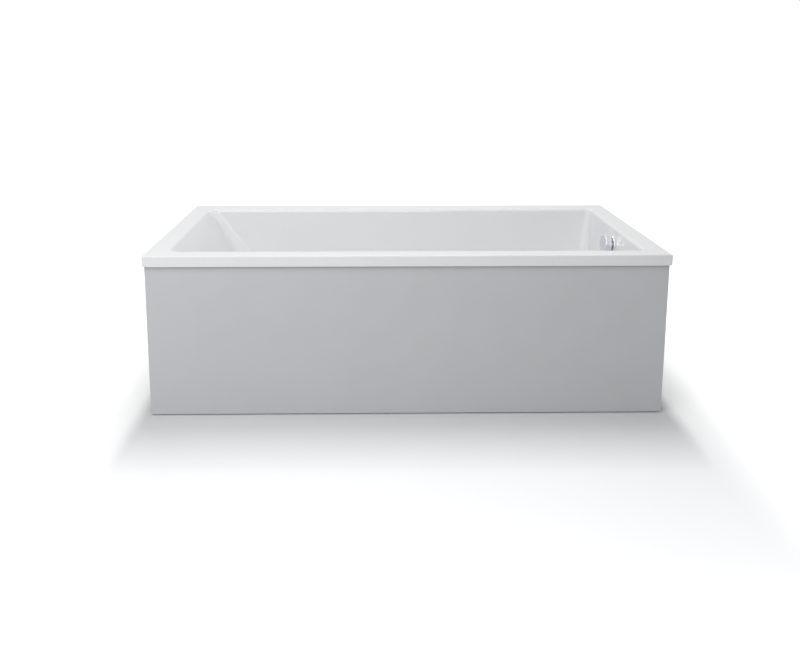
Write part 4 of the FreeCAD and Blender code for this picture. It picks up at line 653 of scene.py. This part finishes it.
def threaded_stud():
    """Rod with a helical thread and a spanner hexagon near its foot.

    At each place, u is the share of a pitch left over from height over pitch less the share of a turn. The
    ridge is the slope times how far 2u lies from 1, less the root, kept between 0 and 1. The radius is the
    stud's less the part of the depth that the ridge leaves, and it narrows in to the top.
    """
    def thread(angle, radius, height):
        along = np.mod(height / THREAD_PITCH - angle / TURN, 1.0)
        ridge = np.clip(THREAD_SLOPE * np.abs(2.0 * along - 1.0) - THREAD_ROOT, 0.0, 1.0)
        lead_in = STUD_R - STUD_LEAD_IN + (STUD_TOP - height)
        return np.minimum(np.minimum(radius, lead_in), STUD_R - THREAD_DEPTH * (1.0 - ridge))

    levels = np.arange(STUD_LOW, STUD_TOP, THREAD_PITCH / THREAD_LEVELS)
    rod = np.stack([np.full_like(levels, STUD_R), levels], axis=-1)
    rod = np.concatenate([[(0.0, STUD_LOW)], rod, [(STUD_R, STUD_TOP), (0.0, STUD_TOP)]])
    spanner, sides = hexagon(*SPANNER_LEVELS, **SPANNER)
    return joined([turned(rod, STUD_ROUND, thread), turned(spanner, HEXAGON_ROUND, sides)])


def ribbed_pad():
    """Flat pad with a hub; its rim is grooved by the rib depth times the cosine of (ribs times angle)."""
    lowest, highest = RIB_LEVELS

    def ribs(angle, radius, height):
        groove = RIB_DEPTH * np.clip(np.cos(PAD_RIBS * angle), 0.0, 1.0)
        on_rim = (radius > RIB_INNER_R) & (height > lowest) & (height < highest)
        return np.where(on_rim, radius - groove, radius)

    return turned(curved_profile(PAD_SECTION, PAD_STEPS), PAD_ROUND, ribs)


def levelling_feet(metal, rubber):
    """Stud and pad of each foot."""
    stud, stud_faces = threaded_stud()
    pad, pad_faces = ribbed_pad()
    for name, place in FOOT_PLACES.items():
        spot = np.array([*place, 0.0])
        body = "foot_" + name
        piece("threaded_" + name, stud + spot, stud_faces, metal, body, "zinc_screw", "stud_" + name)
        piece("ribbed_pad_" + name, pad + spot, pad_faces, rubber, body, "black_moulding", "pad_" + name)


def stud_nuts(metal):
    """Eight chamfered nuts, one over and one under each rail's web on every stud."""
    nuts = []
    for level in NUT_LEVELS:
        profile, sides = hexagon(level, level + NUT_HEIGHT, **NUT)
        points, faces = ringed(profile, HEXAGON_ROUND, sides)
        nuts += [(points + np.array([*place, 0.0]), faces) for place in FOOT_PLACES.values()]
    piece("chamfered_nuts", *joined(nuts), metal, "bath", "zinc_screw", "lock_nuts")


bath_camera()
studio_world()
studio_floor()
for lamp in SOFTBOXES:
    softbox(*lamp)

# ---------------------------------------------------------------- finishes on the nodes
FINISHES = {
    "glossy_acrylic": (glossy_acrylic(), ["tub_shell"]),
    "panel_grey": (panel_grey(), ["apron_panel"]),
    "pressed_chips": (pressed_chips(), ["base_board"]),
    "softwood_upright": (sawn_softwood("softwood_upright", UPRIGHT), ["panel_stiffeners"]),
    "softwood_long": (sawn_softwood("softwood_long", LONG), ["rim_batten_front", "rim_batten_back"]),
    "softwood_cross": (sawn_softwood("softwood_cross", CROSS), ["rim_batten_head", "rim_batten_foot"]),
    "galvanised_sheet": (
        galvanised_sheet(),
        ["leg_rail_head", "leg_rail_foot", "panel_clips", "panel_brackets", "wall_anchors"],
    ),
    "zinc_plate": (
        zinc_plate(),
        ["rail_screws", "lock_nuts", "clip_screws", "bracket_screws", "anchor_screws", "overflow_screws"]
        + ["lever_pin", *("stud_" + name for name in FOOT_PLACES)],
    ),
    "black_moulding": (
        moulded_plastic("black_moulding", (0.028, 0.028, 0.030), 0.42, share=0.1),
        [*("pad_" + name for name in FOOT_PLACES), "bowden_cable"],
    ),
    "white_moulding": (
        moulded_plastic("white_moulding", (0.74, 0.74, 0.73), 0.36),
        ["trap_nut", "trap_body", "overflow_body", "pipe_nut_top", "pipe_nut_bottom", "drain_body"],
    ),
    "grey_moulding": (moulded_plastic("grey_moulding", (0.30, 0.31, 0.32), 0.40), ["overflow_pipe"]),
    "polished_chrome": (
        polished_chrome(),
        ["overflow_rosette", "overflow_knob", "drain_flange", "drain_plug"],
    ),
    "turned_brass": (turned_brass(), ["overflow_spindle", "plug_stem", "lift_lever"]),
    "black_rubber": (
        black_rubber(),
        ["overflow_gasket", "drain_gasket_top", "drain_gasket_low", "plug_seal", "trap_washer"],
    ),
}
for material, names in FINISHES.values():
    for name in names:
        mesh = nodes[name].data
        mesh.materials.clear()
        mesh.materials.append(material)

control_knob(FINISHES["polished_chrome"][0])
levelling_feet(FINISHES["zinc_plate"][0], FINISHES["black_moulding"][0])
stud_nuts(FINISHES["zinc_plate"][0])

bpy.context.scene.view_settings.view_transform = "Standard"
